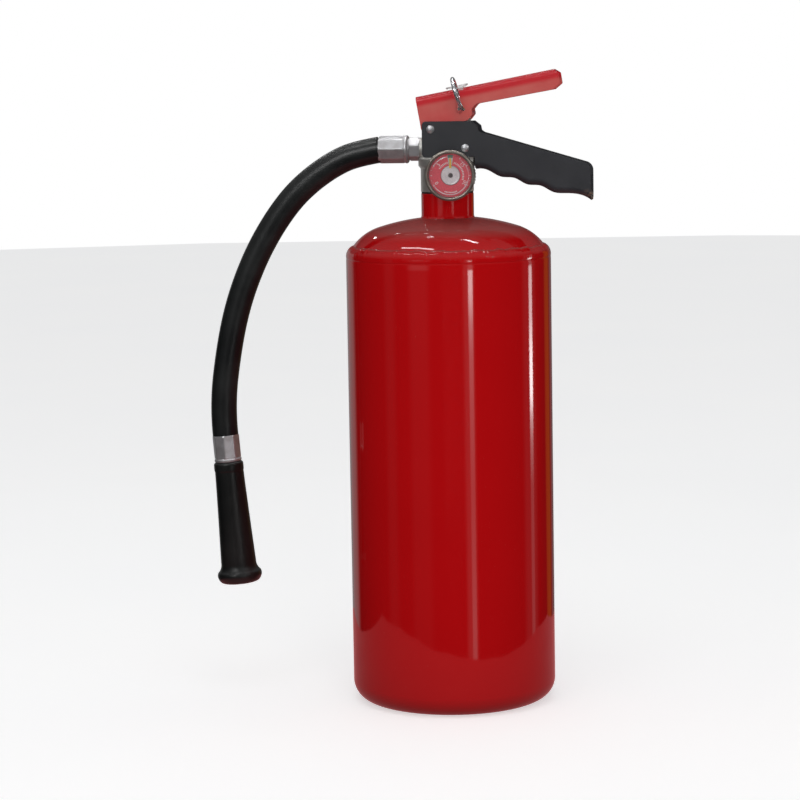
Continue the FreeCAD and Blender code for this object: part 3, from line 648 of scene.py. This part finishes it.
def dome_outline():
    """Half section of the dome: crown, shoulder and the skirt inside the shell, then back."""
    skirt = SHELL_R - WALL - 0.1
    points = arc_points((NECK_R, 380.9), (38, 378.1), (53, 374.2), 20)
    points += arc_points((53, 374.2), (65.3, 368.4), BEAD_TOP, 24)
    points += arc_points(BEAD_TOP, (77.6, 354.4), (skirt, SHELL_TOP - 2), 6)
    points += [(skirt, SHELL_TOP - 2), (skirt, SHELL_TOP - 10), (skirt - WALL, SHELL_TOP - 10)]
    points += [(skirt - WALL, SHELL_TOP - 2), (73, 357.5), (63.5, 367)]
    points += [(52, 372.5), (37, 376.5), (NECK_R, 379.4)]
    return points


def weld_ripple(angle, radius, height):
    """Hand-laid bead: small swells along its run, and an upper edge that wanders."""
    where = Vector((math.cos(angle) * 9, math.sin(angle) * 9, 0))
    slow = noise.noise(where)
    fast = noise.noise(where * 4.5 + Vector((7, 3, 1)))
    share = max(0.0, min(1.0, (height - SHELL_TOP) / (BEAD_TOP[1] - SHELL_TOP)))
    crest = math.sin(math.pi * share)
    foot = max(0.0, 1.0 - 6.0 * share) * 0.25 * (noise.noise(where * 2.0) + fast)
    return radius + crest * (0.10 * fast - 0.05), height + share * (0.8 * slow + 0.35 * fast) + foot


def build_vessel():
    """Deep-drawn shell, pressed dome, the weld that joins them, and the neck."""
    body = turned("painted_shell", shell_outline(), 256)
    add_piece("painted_shell", crease(body, 60), "root", "red_paint", "shell")
    dome = turned("painted_dome", dome_outline(), 256, closed=True)
    add_piece("painted_dome", crease(dome, 60), "root", "red_paint", "top_dome")
    bead = [(SHELL_R - 0.3, SHELL_TOP - 0.1), (SHELL_R - 0.08, SHELL_TOP + 0.1)]
    crest = (BEAD_TOP[0] - 0.4, BEAD_TOP[1] + 0.3)
    bead += arc_points((SHELL_R - 0.02, SHELL_TOP + 0.7), (79.2, 355.6), crest, 20)
    bead += [crest, (BEAD_TOP[0] - 1, BEAD_TOP[1] - 1), (76.5, 352)]
    bead += [(78.4, SHELL_TOP - 0.2)]
    weld = turned("weld_bead", bead, 720, shape=weld_ripple, closed=True)
    add_piece("weld_bead", weld, "root", "red_paint", "shoulder_weld")
    neck = rounded([
        (NECK_BORE, NECK_FOOT, 0), (NECK_R, NECK_FOOT, 0), (NECK_R, 380.2, 0), (NECK_R + 0.9, 380.6, 0),
        (NECK_R + 0.25, 381.6, 0), (NECK_R, 382.6, 0), (NECK_R, NECK_TOP, 0.8), (NECK_BORE, NECK_TOP, 0),
    ])
    collar = turned("neck_sleeve", neck, 160, closed=True)
    add_piece("neck_sleeve", crease(collar, 50), "root", "red_paint", "neck_collar")


build_vessel()


# ---------------------------------------------------------------- hose fittings and nozzle

OUTLET_Z = 434.0
FERRULE_START = -30.0
FERRULE_END = -53.0
NUT_FACE = -20.5
NUT_LENGTH = 8.45
NOZZLE_FERRULE = 21.5
FITTING_BORE = 6.1


def flats(sides, apothem, corner, turn):
    """Section of a bar with flat sides and rounded corners, as a share of its round section."""
    step = 2 * math.pi / sides

    def radius_at(angle):
        off = (angle - turn + step / 2) % step - step / 2
        return min(apothem / math.cos(off), corner)

    return radius_at


def flat_sided(name, outline, frame_matrix, radius_at, round_from, segments):
    """Bar of revolution whose outside is pressed flat from a height up."""

    def press(angle, radius, height):
        if height > round_from and radius > FITTING_BORE + 1:
            radius = min(radius, radius_at(angle))
        return radius, height

    return crease(turned(name, outline, segments, frame_matrix, press, closed=True), 24)


def sleeve(name, start, end, node):
    """Crimped eight-sided ferrule with a rounded collar at its start."""
    length = (Vector(end) - Vector(start)).length / MM
    outline = rounded([
        (FITTING_BORE, 0, 0), (10.0, 0, 0), (10.85, 0.8, 0.6), (10.85, 2.2, 0.5), (10.2, 2.8, 0),
        (10.75, 3.6, 0.4), (10.75, length - 1.2, 0.8), (10.3, length - 0.1, 0),
        (FITTING_BORE, length - 0.1, 0),
    ])
    section = flats(8, 10.05, 10.72, math.radians(3 + 22.5))
    mesh = flat_sided(name, outline, along(start, end), section, 2.7, 192)
    add_piece(name, mesh, "root", "fitting_metal", node)


def tail_point(distance):
    """Point on the nozzle's axis, at a distance in millimetres below the hose's end."""
    down = Vector((math.sin(TAIL_LEAN), 0, -math.cos(TAIL_LEAN)))
    return Vector(HOSE_ROUTE[-1]) + down * distance * MM


def build_fittings():
    """The two crimped ferrules, and the hexagon nut that holds the hose to the valve."""
    height = OUTLET_Z * MM
    upper = [(x * MM, 0, height) for x in (FERRULE_START, FERRULE_END)]
    sleeve("crimp_sleeve_upper", *upper, "hose_ferrule")
    sleeve("crimp_sleeve_lower", tail_point(NOZZLE_FERRULE), tail_point(0), "nozzle_ferrule")
    nut = rounded([
        (FITTING_BORE, 0.02, 0), (8.3, 0.02, 0), (9.25, 0.7, 0.3), (9.25, 7.8, 0.3),
        (8.3, NUT_LENGTH, 0), (FITTING_BORE, NUT_LENGTH, 0),
    ])
    hexagon = flats(6, 8.1, 9.1, math.radians(22 + 30))
    start = Vector((NUT_FACE * MM, 0, height))
    mesh = flat_sided("swivel_nut", nut, along(start, start - Vector((1, 0, 0))), hexagon, 0.0, 180)
    add_piece("swivel_nut", mesh, "root", "fitting_metal", "outlet_nut")


def nozzle_press(angle, radius, height):
    """Parting lines of the mould, and a grip that is very slightly oval."""
    line = math.exp(-((math.sin(angle) / 0.045) ** 2))
    proud = 0.12 * line if 8 < height < 92 and radius > 11 else 0.0
    return radius * (1 + 0.004 * math.cos(2 * angle)) + proud, height


def build_nozzle():
    """Moulded rubber nozzle: collar, tapered grip, flared mouth and open bore."""
    outline = [(FITTING_BORE, 1.0), (9.6, 0.0)]
    outline += arc_points((9.6, 0.0), (11.2, 0.7), (11.8, 2.2), 6)
    outline += [(11.8, 2.2), (11.85, 6.0), (11.75, 6.9), (11.5, 7.6), (11.45, 8.6)]
    outline += [(11.5 + 2.6 * (k / 24) ** 1.15, 9 + 72 * k / 24) for k in range(25)]
    outline += arc_points((14.1, 82), (14.9, 86.0), (17.2, 89.2), 8)
    outline += arc_points((17.2, 89.2), (17.8, 91.6), (17.0, 94.6), 8)
    outline += arc_points((17.0, 94.6), (15.2, 97.0), (12.6, 97.9), 8)
    outline += [(12.6, 97.9), (11.9, 97.5), (11.5, 96.4), (9.0, 78)]
    outline += [(FITTING_BORE, 60), (FITTING_BORE, 30)]
    start = tail_point(NOZZLE_FERRULE)
    matrix = along(start, tail_point(NOZZLE_FERRULE + 90))
    mesh = crease(turned("moulded_nozzle", outline, 160, matrix, nozzle_press, closed=True), 50)
    add_piece("moulded_nozzle", mesh, "root", "nozzle_plastic", "nozzle")


build_fittings()
build_nozzle()


# ---------------------------------------------------------------- gauge

GAUGE_R = 19.4
CASE_R = 17.8
LIP_R = 16.9
HUB_R = 7.3
BEZEL_BACK = -42.0             # depths along Y
DIAL_Y = -44.0
PRINT_Y = DIAL_Y - 0.6
WINDOW_BACK = -46.6
WINDOW_R = 15.4
INK = 0.04
SERRATIONS = 48
TO_FRONT = Matrix.Rotation(math.radians(90), 4, "X")   # turned pieces then look along -Y


def gauge_frame(y):
    """Frame on the gauge's axis at a depth: its own Z points out of the dial."""
    return Matrix.Translation((GAUGE_CENTRE.x, y * MM, GAUGE_CENTRE.z)) @ TO_FRONT


def bezel_side(angle, radius, height):
    """Serrations round the bezel's side, fading out before its front."""
    depth = 0.45 if radius > GAUGE_R - 0.6 and height < 6.3 else 0.0
    return radius - depth * (0.5 + 0.5 * math.cos(angle * SERRATIONS)), height


def build_bezel():
    """Steel ring over the window: serrated side, rolled front edge and a thin lip."""
    outline = [(CASE_R + 0.1, 0), (GAUGE_R - 0.3, 0), (GAUGE_R, 0.5), (GAUGE_R, 3.0), (GAUGE_R, 6.2)]
    outline += arc_points((GAUGE_R - 0.05, 6.5), (GAUGE_R - 0.45, 7.5), (GAUGE_R - 1.3, 8.0), 6)
    outline += arc_points((GAUGE_R - 1.3, 8.0), (GAUGE_R - 2.1, 7.8), (LIP_R, 7.2), 5)
    outline += [(LIP_R - 0.05, 7.0), (LIP_R - 0.05, 6.4), (CASE_R + 0.1, 6.4)]
    place = gauge_frame(BEZEL_BACK)
    mesh = turned("serrated_bezel", outline, SERRATIONS * 8, place, bezel_side, closed=True)
    add_piece("serrated_bezel", crease(mesh, 40), "root", "gauge_steel", "gauge_bezel")


def build_lens():
    """Moulded window: flat rim, a rounded shoulder and a low crown."""
    radii = (0, 2, 4, 6, 8, 10, 12, 13.2)
    crown = [(r, 3.15 - 0.9 * (r / WINDOW_R) ** 2) for r in radii]
    crown += arc_points((13.8, 2.42), (15.2, 1.9), (15.9, 0.9), 8)
    crown += [(15.9, 0.9), (16.3, 0.45), (17.1, 0.4), (17.1, 0.05), (WINDOW_R, 0.0)]
    crown += arc_points((WINDOW_R, 0.0), (14.9, 1.0), (13.6, 1.5), 5)
    crown += [(r, 2.2 - 0.9 * (r / WINDOW_R) ** 2) for r in reversed(radii)]
    mesh = crease(turned("domed_window", crown, 128, gauge_frame(WINDOW_BACK)), 50)
    add_piece("domed_window", mesh, "root", "clear_lens", "gauge_lens")


def dial_piece(name, mesh, ink):
    """Marks in one ink, on the dial."""
    add_piece(name, mesh, "root", "dial_face")
    coat(mesh, DIAL_INKS[ink])


def printed_piece(name, outlines, ink, lift):
    """Flat marks on the dial: closed outlines of (across, up) in millimetres, thin and raised."""
    made = bmesh.new()
    for outline in outlines:
        bottom = [made.verts.new((x * MM, y * MM, 0)) for x, y in outline]
        top = [made.verts.new((x * MM, y * MM, INK * MM)) for x, y in outline]
        made.faces.new(top)
        made.faces.new(list(reversed(bottom)))
        for k in range(len(outline)):
            after = (k + 1) % len(outline)
            made.faces.new((bottom[k], bottom[after], top[after], top[k]))
    bmesh.ops.transform(made, matrix=gauge_frame(PRINT_Y - lift), verts=made.verts)
    dial_piece(name, mesh_of(name, made), ink)


def polar(radius, degrees):
    """Point at a clock angle from straight up, as (across, up)."""
    angle = math.radians(degrees)
    return radius * math.sin(angle), radius * math.cos(angle)


def ring_part(inner, outer, start, end, steps=10):
    """Closed outline between two radii and two clock angles."""
    out = [polar(outer, start + (end - start) * k / steps) for k in range(steps + 1)]
    back = [polar(inner, end - (end - start) * k / steps) for k in range(steps + 1)]
    return out + back


def digit_row(text, radius, degrees, height):
    """Generic scale numbers, as outlines made from the built-in font."""
    letters = bpy.data.curves.new("digits", "FONT")
    letters.body = text
    letters.size = height * MM
    letters.align_x = "CENTER"
    letters.align_y = "CENTER"
    letters.extrude = INK / 2 * MM
    across, up = polar(radius, degrees)
    holder = show("digits", letters)
    mesh = bpy.data.meshes.new_from_object(holder)
    bpy.data.objects.remove(holder)
    lean = degrees if abs(degrees) < 100 else degrees - 180
    spot = Matrix.Translation((across * MM, up * MM, 0))
    mesh.transform(gauge_frame(PRINT_Y - 0.06) @ spot @ Matrix.Rotation(-math.radians(lean), 4, "Z"))
    return mesh


def build_dial():
    """Red dial: pale sector with a green mark at the top, ticks, short strokes and numbers."""
    printed_piece("dial_sector", [ring_part(HUB_R + 0.7, 15.6, -8.5, 8.5)], "pale", 0.02)
    printed_piece("dial_green_mark", [ring_part(13.4, 15.7, -8.0, 8.0)], "green", 0.05)
    main = (-120, -90, -60, -30, 30, 60, 90, 120)
    ticks = [ring_part(14.2, 15.5, a - 0.8, a + 0.8, 1) for a in main]
    ticks += [ring_part(14.8, 15.5, a - 0.5, a + 0.5, 1) for a in (-105, -75, -45, 45, 75, 105)]
    printed_piece("dial_ticks", ticks, "white", 0.02)
    strokes = [ring_part(9.2, 10.5, a, a + 3.4, 2) for a in range(-58, -14, 7)]
    strokes += [ring_part(9.2, 10.5, a, a + 3.4, 2) for a in range(16, 114, 7)]
    strokes += [ring_part(12.4, 13.4, a, a + 3.0, 2) for a in range(158, 200, 5)]
    printed_piece("dial_strokes", strokes, "white", 0.02)
    numbers = (("zero", "0", -118), ("low", "5", -48), ("high", "15", 48), ("full", "20", 118))
    for name, text, angle in numbers:
        dial_piece("dial_number_" + name, digit_row(text, 12.3, angle, 3.8), "white")


def build_hub():
    """Spun disc on the coil's end: a rolled edge, fine steps and a riveted middle."""
    outline = [(0, 0.05), (0, 0.25), (1.0, 0.2), (1.45, 0.1), (1.6, 0.15), (1.95, 0.75)]
    outline += [(2.0 + 0.5 * k, 0.75 + 0.07 * (k % 2)) for k in range(9)]
    outline += [(6.4, 0.95), (6.9, 0.95), (7.2, 0.8), (HUB_R, 0.5), (HUB_R, 0.05)]
    mesh = crease(turned("spun_hub", outline, 128, gauge_frame(DIAL_Y)), 50)
    add_piece("spun_hub", mesh, "needle", "hub_metal", "gauge_hub")


build_bezel()
build_lens()
build_dial()
build_hub()


# ---------------------------------------------------------------- seal

PIN_HOLE = Vector((0.0115, 0, 0.4629))
TIE_R = 0.6 * MM
TIE_LOCK = Vector((3.4, 2.8, 3.8)) * MM
TIE_LOCK_SHIFT = Vector((1.1, 0, 0)) * MM
TIE_LOOP = [
    (2.0, -20.0, 18.2), (-2.5, -22.0, 18.0), (-7.5, -20.0, 17.6), (-9.5, -13.5, 17.8),
    (-9.0, -5.5, 18.1), (-6.0, 1.5, 18.8), (-1.0, 5.0, 19.8), (3.5, 3.0, 20.6),
    (6.0, -4.0, 21.0), (6.0, -11.0, 20.4), (4.8, -16.0, 19.2), (3.4, -18.8, 18.6),
]


def build_seal():
    """Clear tie that loops in through the pull ring and over the lever, with its lock."""
    points = [PIN_HOLE + Vector(offset) * MM for offset in TIE_LOOP]
    tie = curve_piece("clear_tie", points, TIE_R, closed=True)
    paint(tie, "clear_plastic")
    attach(tie, "pin")
    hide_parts("tamper_seal")
    made = bmesh.new()
    bmesh.ops.create_cube(made, size=1.0)
    bmesh.ops.scale(made, vec=TIE_LOCK, verts=made.verts)
    bmesh.ops.bevel(made, geom=made.edges[:], offset=TIE_R, segments=3, affect="EDGES", profile=0.5)
    bmesh.ops.translate(made, vec=points[0] + TIE_LOCK_SHIFT, verts=made.verts)
    add_piece("tie_lock", mesh_of("tie_lock", made), "pin", "clear_plastic")


build_seal()


# ---------------------------------------------------------------- floor

FLOOR_R = 6000                 # millimetres
SHADED_R = 150
NEAR_FLOOR = [                 # (azimuth, distance in millimetres)
    (2, 319), (23, 297), (46, 288), (72, 302), (89, 323), (107, 359), (130, 386), (180, 400),
    (-140, 400), (-110, 330), (-102, 300), (-73.7, 443), (-49.5, 406), (-28.7, 367),
]


def direction(azimuth, elevation):
    """Unit vector at an azimuth from -Y towards +X, and an elevation."""
    turn = math.radians(azimuth)
    rise = math.radians(elevation)
    level = math.cos(rise)
    return Vector((math.sin(turn) * level, -math.cos(turn) * level, math.sin(rise)))


def floor_sheet(name, outline, height, material, camera=False, gloss=False, soft=False):
    """A level sheet of floor from an outline of (azimuth, distance) in degrees and millimetres,
    and whether the camera, gloss or soft light meets it."""
    made = bmesh.new()
    lift = Vector((0, 0, height * MM))
    corners = [made.verts.new(direction(a, 0) * r * MM + lift) for a, r in outline]
    made.faces.new(corners)
    bmesh.ops.triangulate(made, faces=made.faces[:])
    bmesh.ops.recalc_face_normals(made, faces=made.faces)
    mesh = mesh_of(name, made)
    mesh.materials.append(material)
    floor = show(name, mesh)
    floor.visible_camera = camera
    floor.visible_glossy = gloss
    floor.visible_diffuse = soft
    floor.visible_shadow = camera


def stage_floor():
    """Pale studio floor. Near the object the paint mirrors only a reddish glowing sheet, a painted floor
    reflection, and soft light meets only a near-black sheet, painted shade under the object.
    """
    white = Finish("studio_floor", roughness=0.7, specular_ior_level=0.2, emission_strength=0.55)
    cloud = white.grain(3.0, 2.0)
    white.feed("Base Color", white.blend(cloud, colour(0.86, 0.86, 0.86), colour(0.89, 0.89, 0.885)))
    white.feed("Emission Color", white.blend(cloud, colour(0.97, 0.98, 1.0), colour(1.0, 1.0, 1.0)))
    # Painted reflection: a sheet that glows reddish, met only by gloss, stands in for the lit floor
    # mirrored in the enamel.
    mirrored = Finish("mirrored_floor", roughness=1.0, specular_ior_level=0.0, emission_strength=1.0)
    cloud = mirrored.grain(12.0, 3.0)
    glow = mirrored.blend(cloud, colour(0.50, 0.15, 0.16), colour(0.60, 0.20, 0.20))
    mirrored.feed("Base Color", colour(0.0, 0.0, 0.0))
    mirrored.feed("Emission Color", glow)
    # Painted shade: a near-black sheet met only by soft light stands in for the shadowed floor under the
    # object.
    shaded = Finish("shaded_floor", roughness=1.0, specular_ior_level=0.0)
    cloud = shaded.grain(8.0)
    shaded.feed("Base Color", shaded.blend(cloud, colour(0.04, 0.02, 0.02), colour(0.06, 0.03, 0.03)))
    wide = [(a, FLOOR_R) for a in range(0, 360, 15)]
    close = [(a, SHADED_R) for a in range(0, 360, 10)]
    floor_sheet("studio_floor", wide, 0.0, white.material, camera=True)
    floor_sheet("mirrored_floor", NEAR_FLOOR, -0.4, mirrored.material, gloss=True)
    floor_sheet("shaded_floor", close, -0.2, shaded.material, soft=True)


# ---------------------------------------------------------------- light

KEY_LIGHTS = [                 # name, azimuth, elevation, distance, side, brightness
    ("key", 14, 1, 2.7, 1.3, 5.9),
    ("top_fill", 0, 60, 2.4, 1.6, 1.2),
]
SHEEN_DISTANCE = 2.2
SHEEN_LIGHTS = [               # name, azimuth, elevation, side, brightness
    ("sheen_left", -24, 26, 0.60, 9.0),
    ("sheen_right", 62, 34, 0.50, 4.0),
    ("sheen_front", -8, -12, 0.70, 1.2),
]
TUBE_DISTANCE = 2.0
TUBES = [                      # name, (azimuth, elevation) of each end, width, brightness
    ("tube_far", (-150, 65), (107, 71), 0.07, 45.0),
    ("tube_near", (-85, 57), (-27, 70), 0.07, 24.0),
]
LAMPS = [(-144, 30), (-152, 40), (-138, 36), (-160, 52), (136, 44), (60, 29)]
WALL_R = 1.2
WALL_FOOT = -0.4
WALL_TOP = 0.6
STREAKS = [                    # azimuth, half its width, its soft edge, [(height, brightness)]
    (31.0, 1.6, 1.6, [(-0.40, 0.5), (-0.15, 0.8), (0.00, 0.55), (0.10, 1.0), (0.16, 1.4),
                      (0.20, 3.0), (0.24, 8.5), (0.30, 8.5), (0.33, 0.8)]),
    (29.0, 3.0, 5.0, [(-0.40, 0.25), (0.10, 0.30), (0.60, 0.40)]),
    (108.5, 1.8, 1.8, [(-0.40, 0.25), (0.00, 0.40), (0.05, 1.5), (0.08, 4.0), (0.11, 13.0),
                       (0.15, 13.0), (0.20, 6.5), (0.30, 5.0), (0.33, 0.8)]),
    (106.0, 6.0, 8.0, [(-0.40, 0.10), (0.10, 0.12), (0.60, 0.15)]),
    (-25.0, 6.0, 9.0, [(-0.40, 0.03), (0.10, 0.07), (0.30, 0.12), (0.34, 0.45)]),
    (-60.0, 2.0, 8.0, [(-0.40, 0.03), (0.60, 0.10)]),
    (-155.0, 26.0, 10.0, [(-0.40, 0.30), (0.60, 0.36)]),
    (172.0, 10.0, 10.0, [(-0.40, 0.12), (0.60, 0.14)]),
]
GOLD_STREAK = (146.0, 5.0, 4.0, [(-0.40, 0.30), (0.60, 0.32)])
DIM_WALL = 0.012


def area_light(name, matrix, width, length, strength):
    """Rectangular light whose strength is its brightness, unseen by the camera."""
    lamp = bpy.data.lights.new(name, "AREA")
    lamp.shape = "RECTANGLE"
    lamp.size = width
    lamp.size_y = length
    lamp.energy = strength * math.pi * width * length
    holder = show(name, lamp)
    holder.matrix_world = matrix
    holder.visible_camera = False
    return holder


def square_light(name, azimuth, elevation, distance, height, side, strength):
    """Square light that looks at a height on the shell's axis."""
    out = direction(azimuth, elevation)
    turn = out.to_track_quat("Z", "Y").to_matrix().to_4x4()
    spot = Matrix.Translation(Vector((0, 0, height)) + out * distance)
    return area_light(name, spot @ turn, side, side, strength)


def streak(wall, turn, rise, azimuth, half, soft, stops):
    """Brightness of one upright light on the wall."""
    across = wall.level((turn - azimuth).through("ABSOLUTE"), half, half + soft, 1.0, 0.0)
    ramp = [((z - WALL_FOOT) / (WALL_TOP - WALL_FOOT), colour(b, b, b)) for z, b in stops]
    return across * wall.node("ValToRGB", {"stops": ramp}, {0: rise})


def mirrored_wall():
    """Round wall that only gloss sees: the studio's upright lights and dim sides."""
    wall = Finish("mirrored_wall", roughness=1.0, specular_ior_level=0.0, emission_strength=1.0)
    wall.feed("Base Color", colour(0, 0, 0))
    across = wall.axis("X")
    turn = across.math("ARCTAN2", across, wall.axis("Y") * -1.0) * math.degrees(1)
    rise = wall.axis("Z") - WALL_FOOT
    pale = sum((streak(wall, turn, rise, *light) for light in STREAKS), start=DIM_WALL)
    gold = wall.blend(streak(wall, turn, rise, *GOLD_STREAK), colour(0, 0, 0), colour(1.0, 0.36, 0.03))
    wall.feed("Emission Color", wall.node("VectorMath", {"operation": "ADD"}, {0: gold, 1: pale}))
    made = bmesh.new()
    foot, top = [
        [made.verts.new(direction(a, 0) * WALL_R + Vector((0, 0, z))) for a in range(0, 360, 4)]
        for z in (WALL_FOOT, WALL_TOP)
    ]
    for k in range(len(foot)):
        after = (k + 1) % len(foot)
        made.faces.new((foot[k], foot[after], top[after], top[k]))
    mesh = mesh_of("mirrored_wall", made)
    mesh.materials.append(wall.material)
    piece = show("mirrored_wall", mesh)
    piece.visible_camera = False
    piece.visible_diffuse = False
    piece.visible_shadow = False
    piece.visible_transmission = False


def ceiling_tube(name, start, end, width, strength):
    """Straight tube light between two directions (azimuth, elevation) from the shoulder."""
    first = direction(*start) * TUBE_DISTANCE
    last = direction(*end) * TUBE_DISTANCE
    middle = (first + last) / 2
    run = (last - first).normalized()
    out = (middle - run * middle.dot(run)).normalized()
    turn = Matrix((run.cross(out), run, out)).transposed().to_4x4()
    spot = middle + Vector((0, 0, SHELL_TOP * MM))
    lamp = area_light(name, Matrix.Translation(spot) @ turn, width, (last - first).length, strength)
    lamp.visible_diffuse = False


def stage_light():
    """Marks in gloss: sheen on all but the enamel, tubes and lamps. Soft shading: key and fill."""
    others = bpy.data.collections.new("not_enamel")
    for piece in list(bpy.data.objects):
        if piece.type in ("MESH", "CURVE") and FINISHES["red_paint"] not in list(piece.data.materials):
            others.objects.link(piece)
    for name, azimuth, elevation, side, strength in SHEEN_LIGHTS:
        sheen = square_light(name, azimuth, elevation, SHEEN_DISTANCE, 0.4, side, strength)
        sheen.visible_diffuse = False
        sheen.light_linking.receiver_collection = others
    for name, azimuth, elevation, distance, side, strength in KEY_LIGHTS:
        square_light(name, azimuth, elevation, distance, 0.3, side, strength).visible_glossy = False
    for tube in TUBES:
        ceiling_tube(*tube)
    for k, (azimuth, elevation) in enumerate(LAMPS):
        ends = ((azimuth - 1.5, elevation), (azimuth + 1.5, elevation + 1))
        ceiling_tube("lamp_%d" % k, *ends, 0.06, 40.0)


def stage_world():
    """White studio for the eye and for soft light. Gloss sees a dim room with a paler ceiling."""
    world = bpy.data.worlds.new("studio")
    world.use_nodes = True
    nodes = world.node_tree.nodes
    links = world.node_tree.links

    def background(strength):
        made = nodes.new("ShaderNodeBackground")
        made.inputs["Color"].default_value = (1, 1, 1, 1)
        made.inputs["Strength"].default_value = strength
        return made

    def choose(share, first, second):
        made = nodes.new("ShaderNodeMixShader")
        links.new(share, made.inputs[0])
        links.new(first.outputs[0], made.inputs[1])
        links.new(second.outputs[0], made.inputs[2])
        return made

    place = nodes.new("ShaderNodeTexCoord")
    split = nodes.new("ShaderNodeSeparateXYZ")
    links.new(place.outputs["Generated"], split.inputs[0])
    rise = nodes.new("ShaderNodeMapRange")
    rise.interpolation_type = "SMOOTHSTEP"
    for socket, value in zip(list(rise.inputs)[1:5], (0.0, 0.9, 0.02, 0.42)):
        socket.default_value = value
    links.new(split.outputs["Z"], rise.inputs[0])
    room = background(1.0)
    links.new(rise.outputs[0], room.inputs["Strength"])
    ray = nodes.new("ShaderNodeLightPath")
    lit = choose(ray.outputs["Is Glossy Ray"], background(0.30), room)
    seen = choose(ray.outputs["Is Camera Ray"], lit, background(1.0))
    links.new(seen.outputs[0], nodes["World Output"].inputs[0])
    bpy.context.scene.world = world
    bpy.context.scene.view_settings.view_transform = "Standard"


stage_floor()
mirrored_wall()
stage_light()
stage_world()
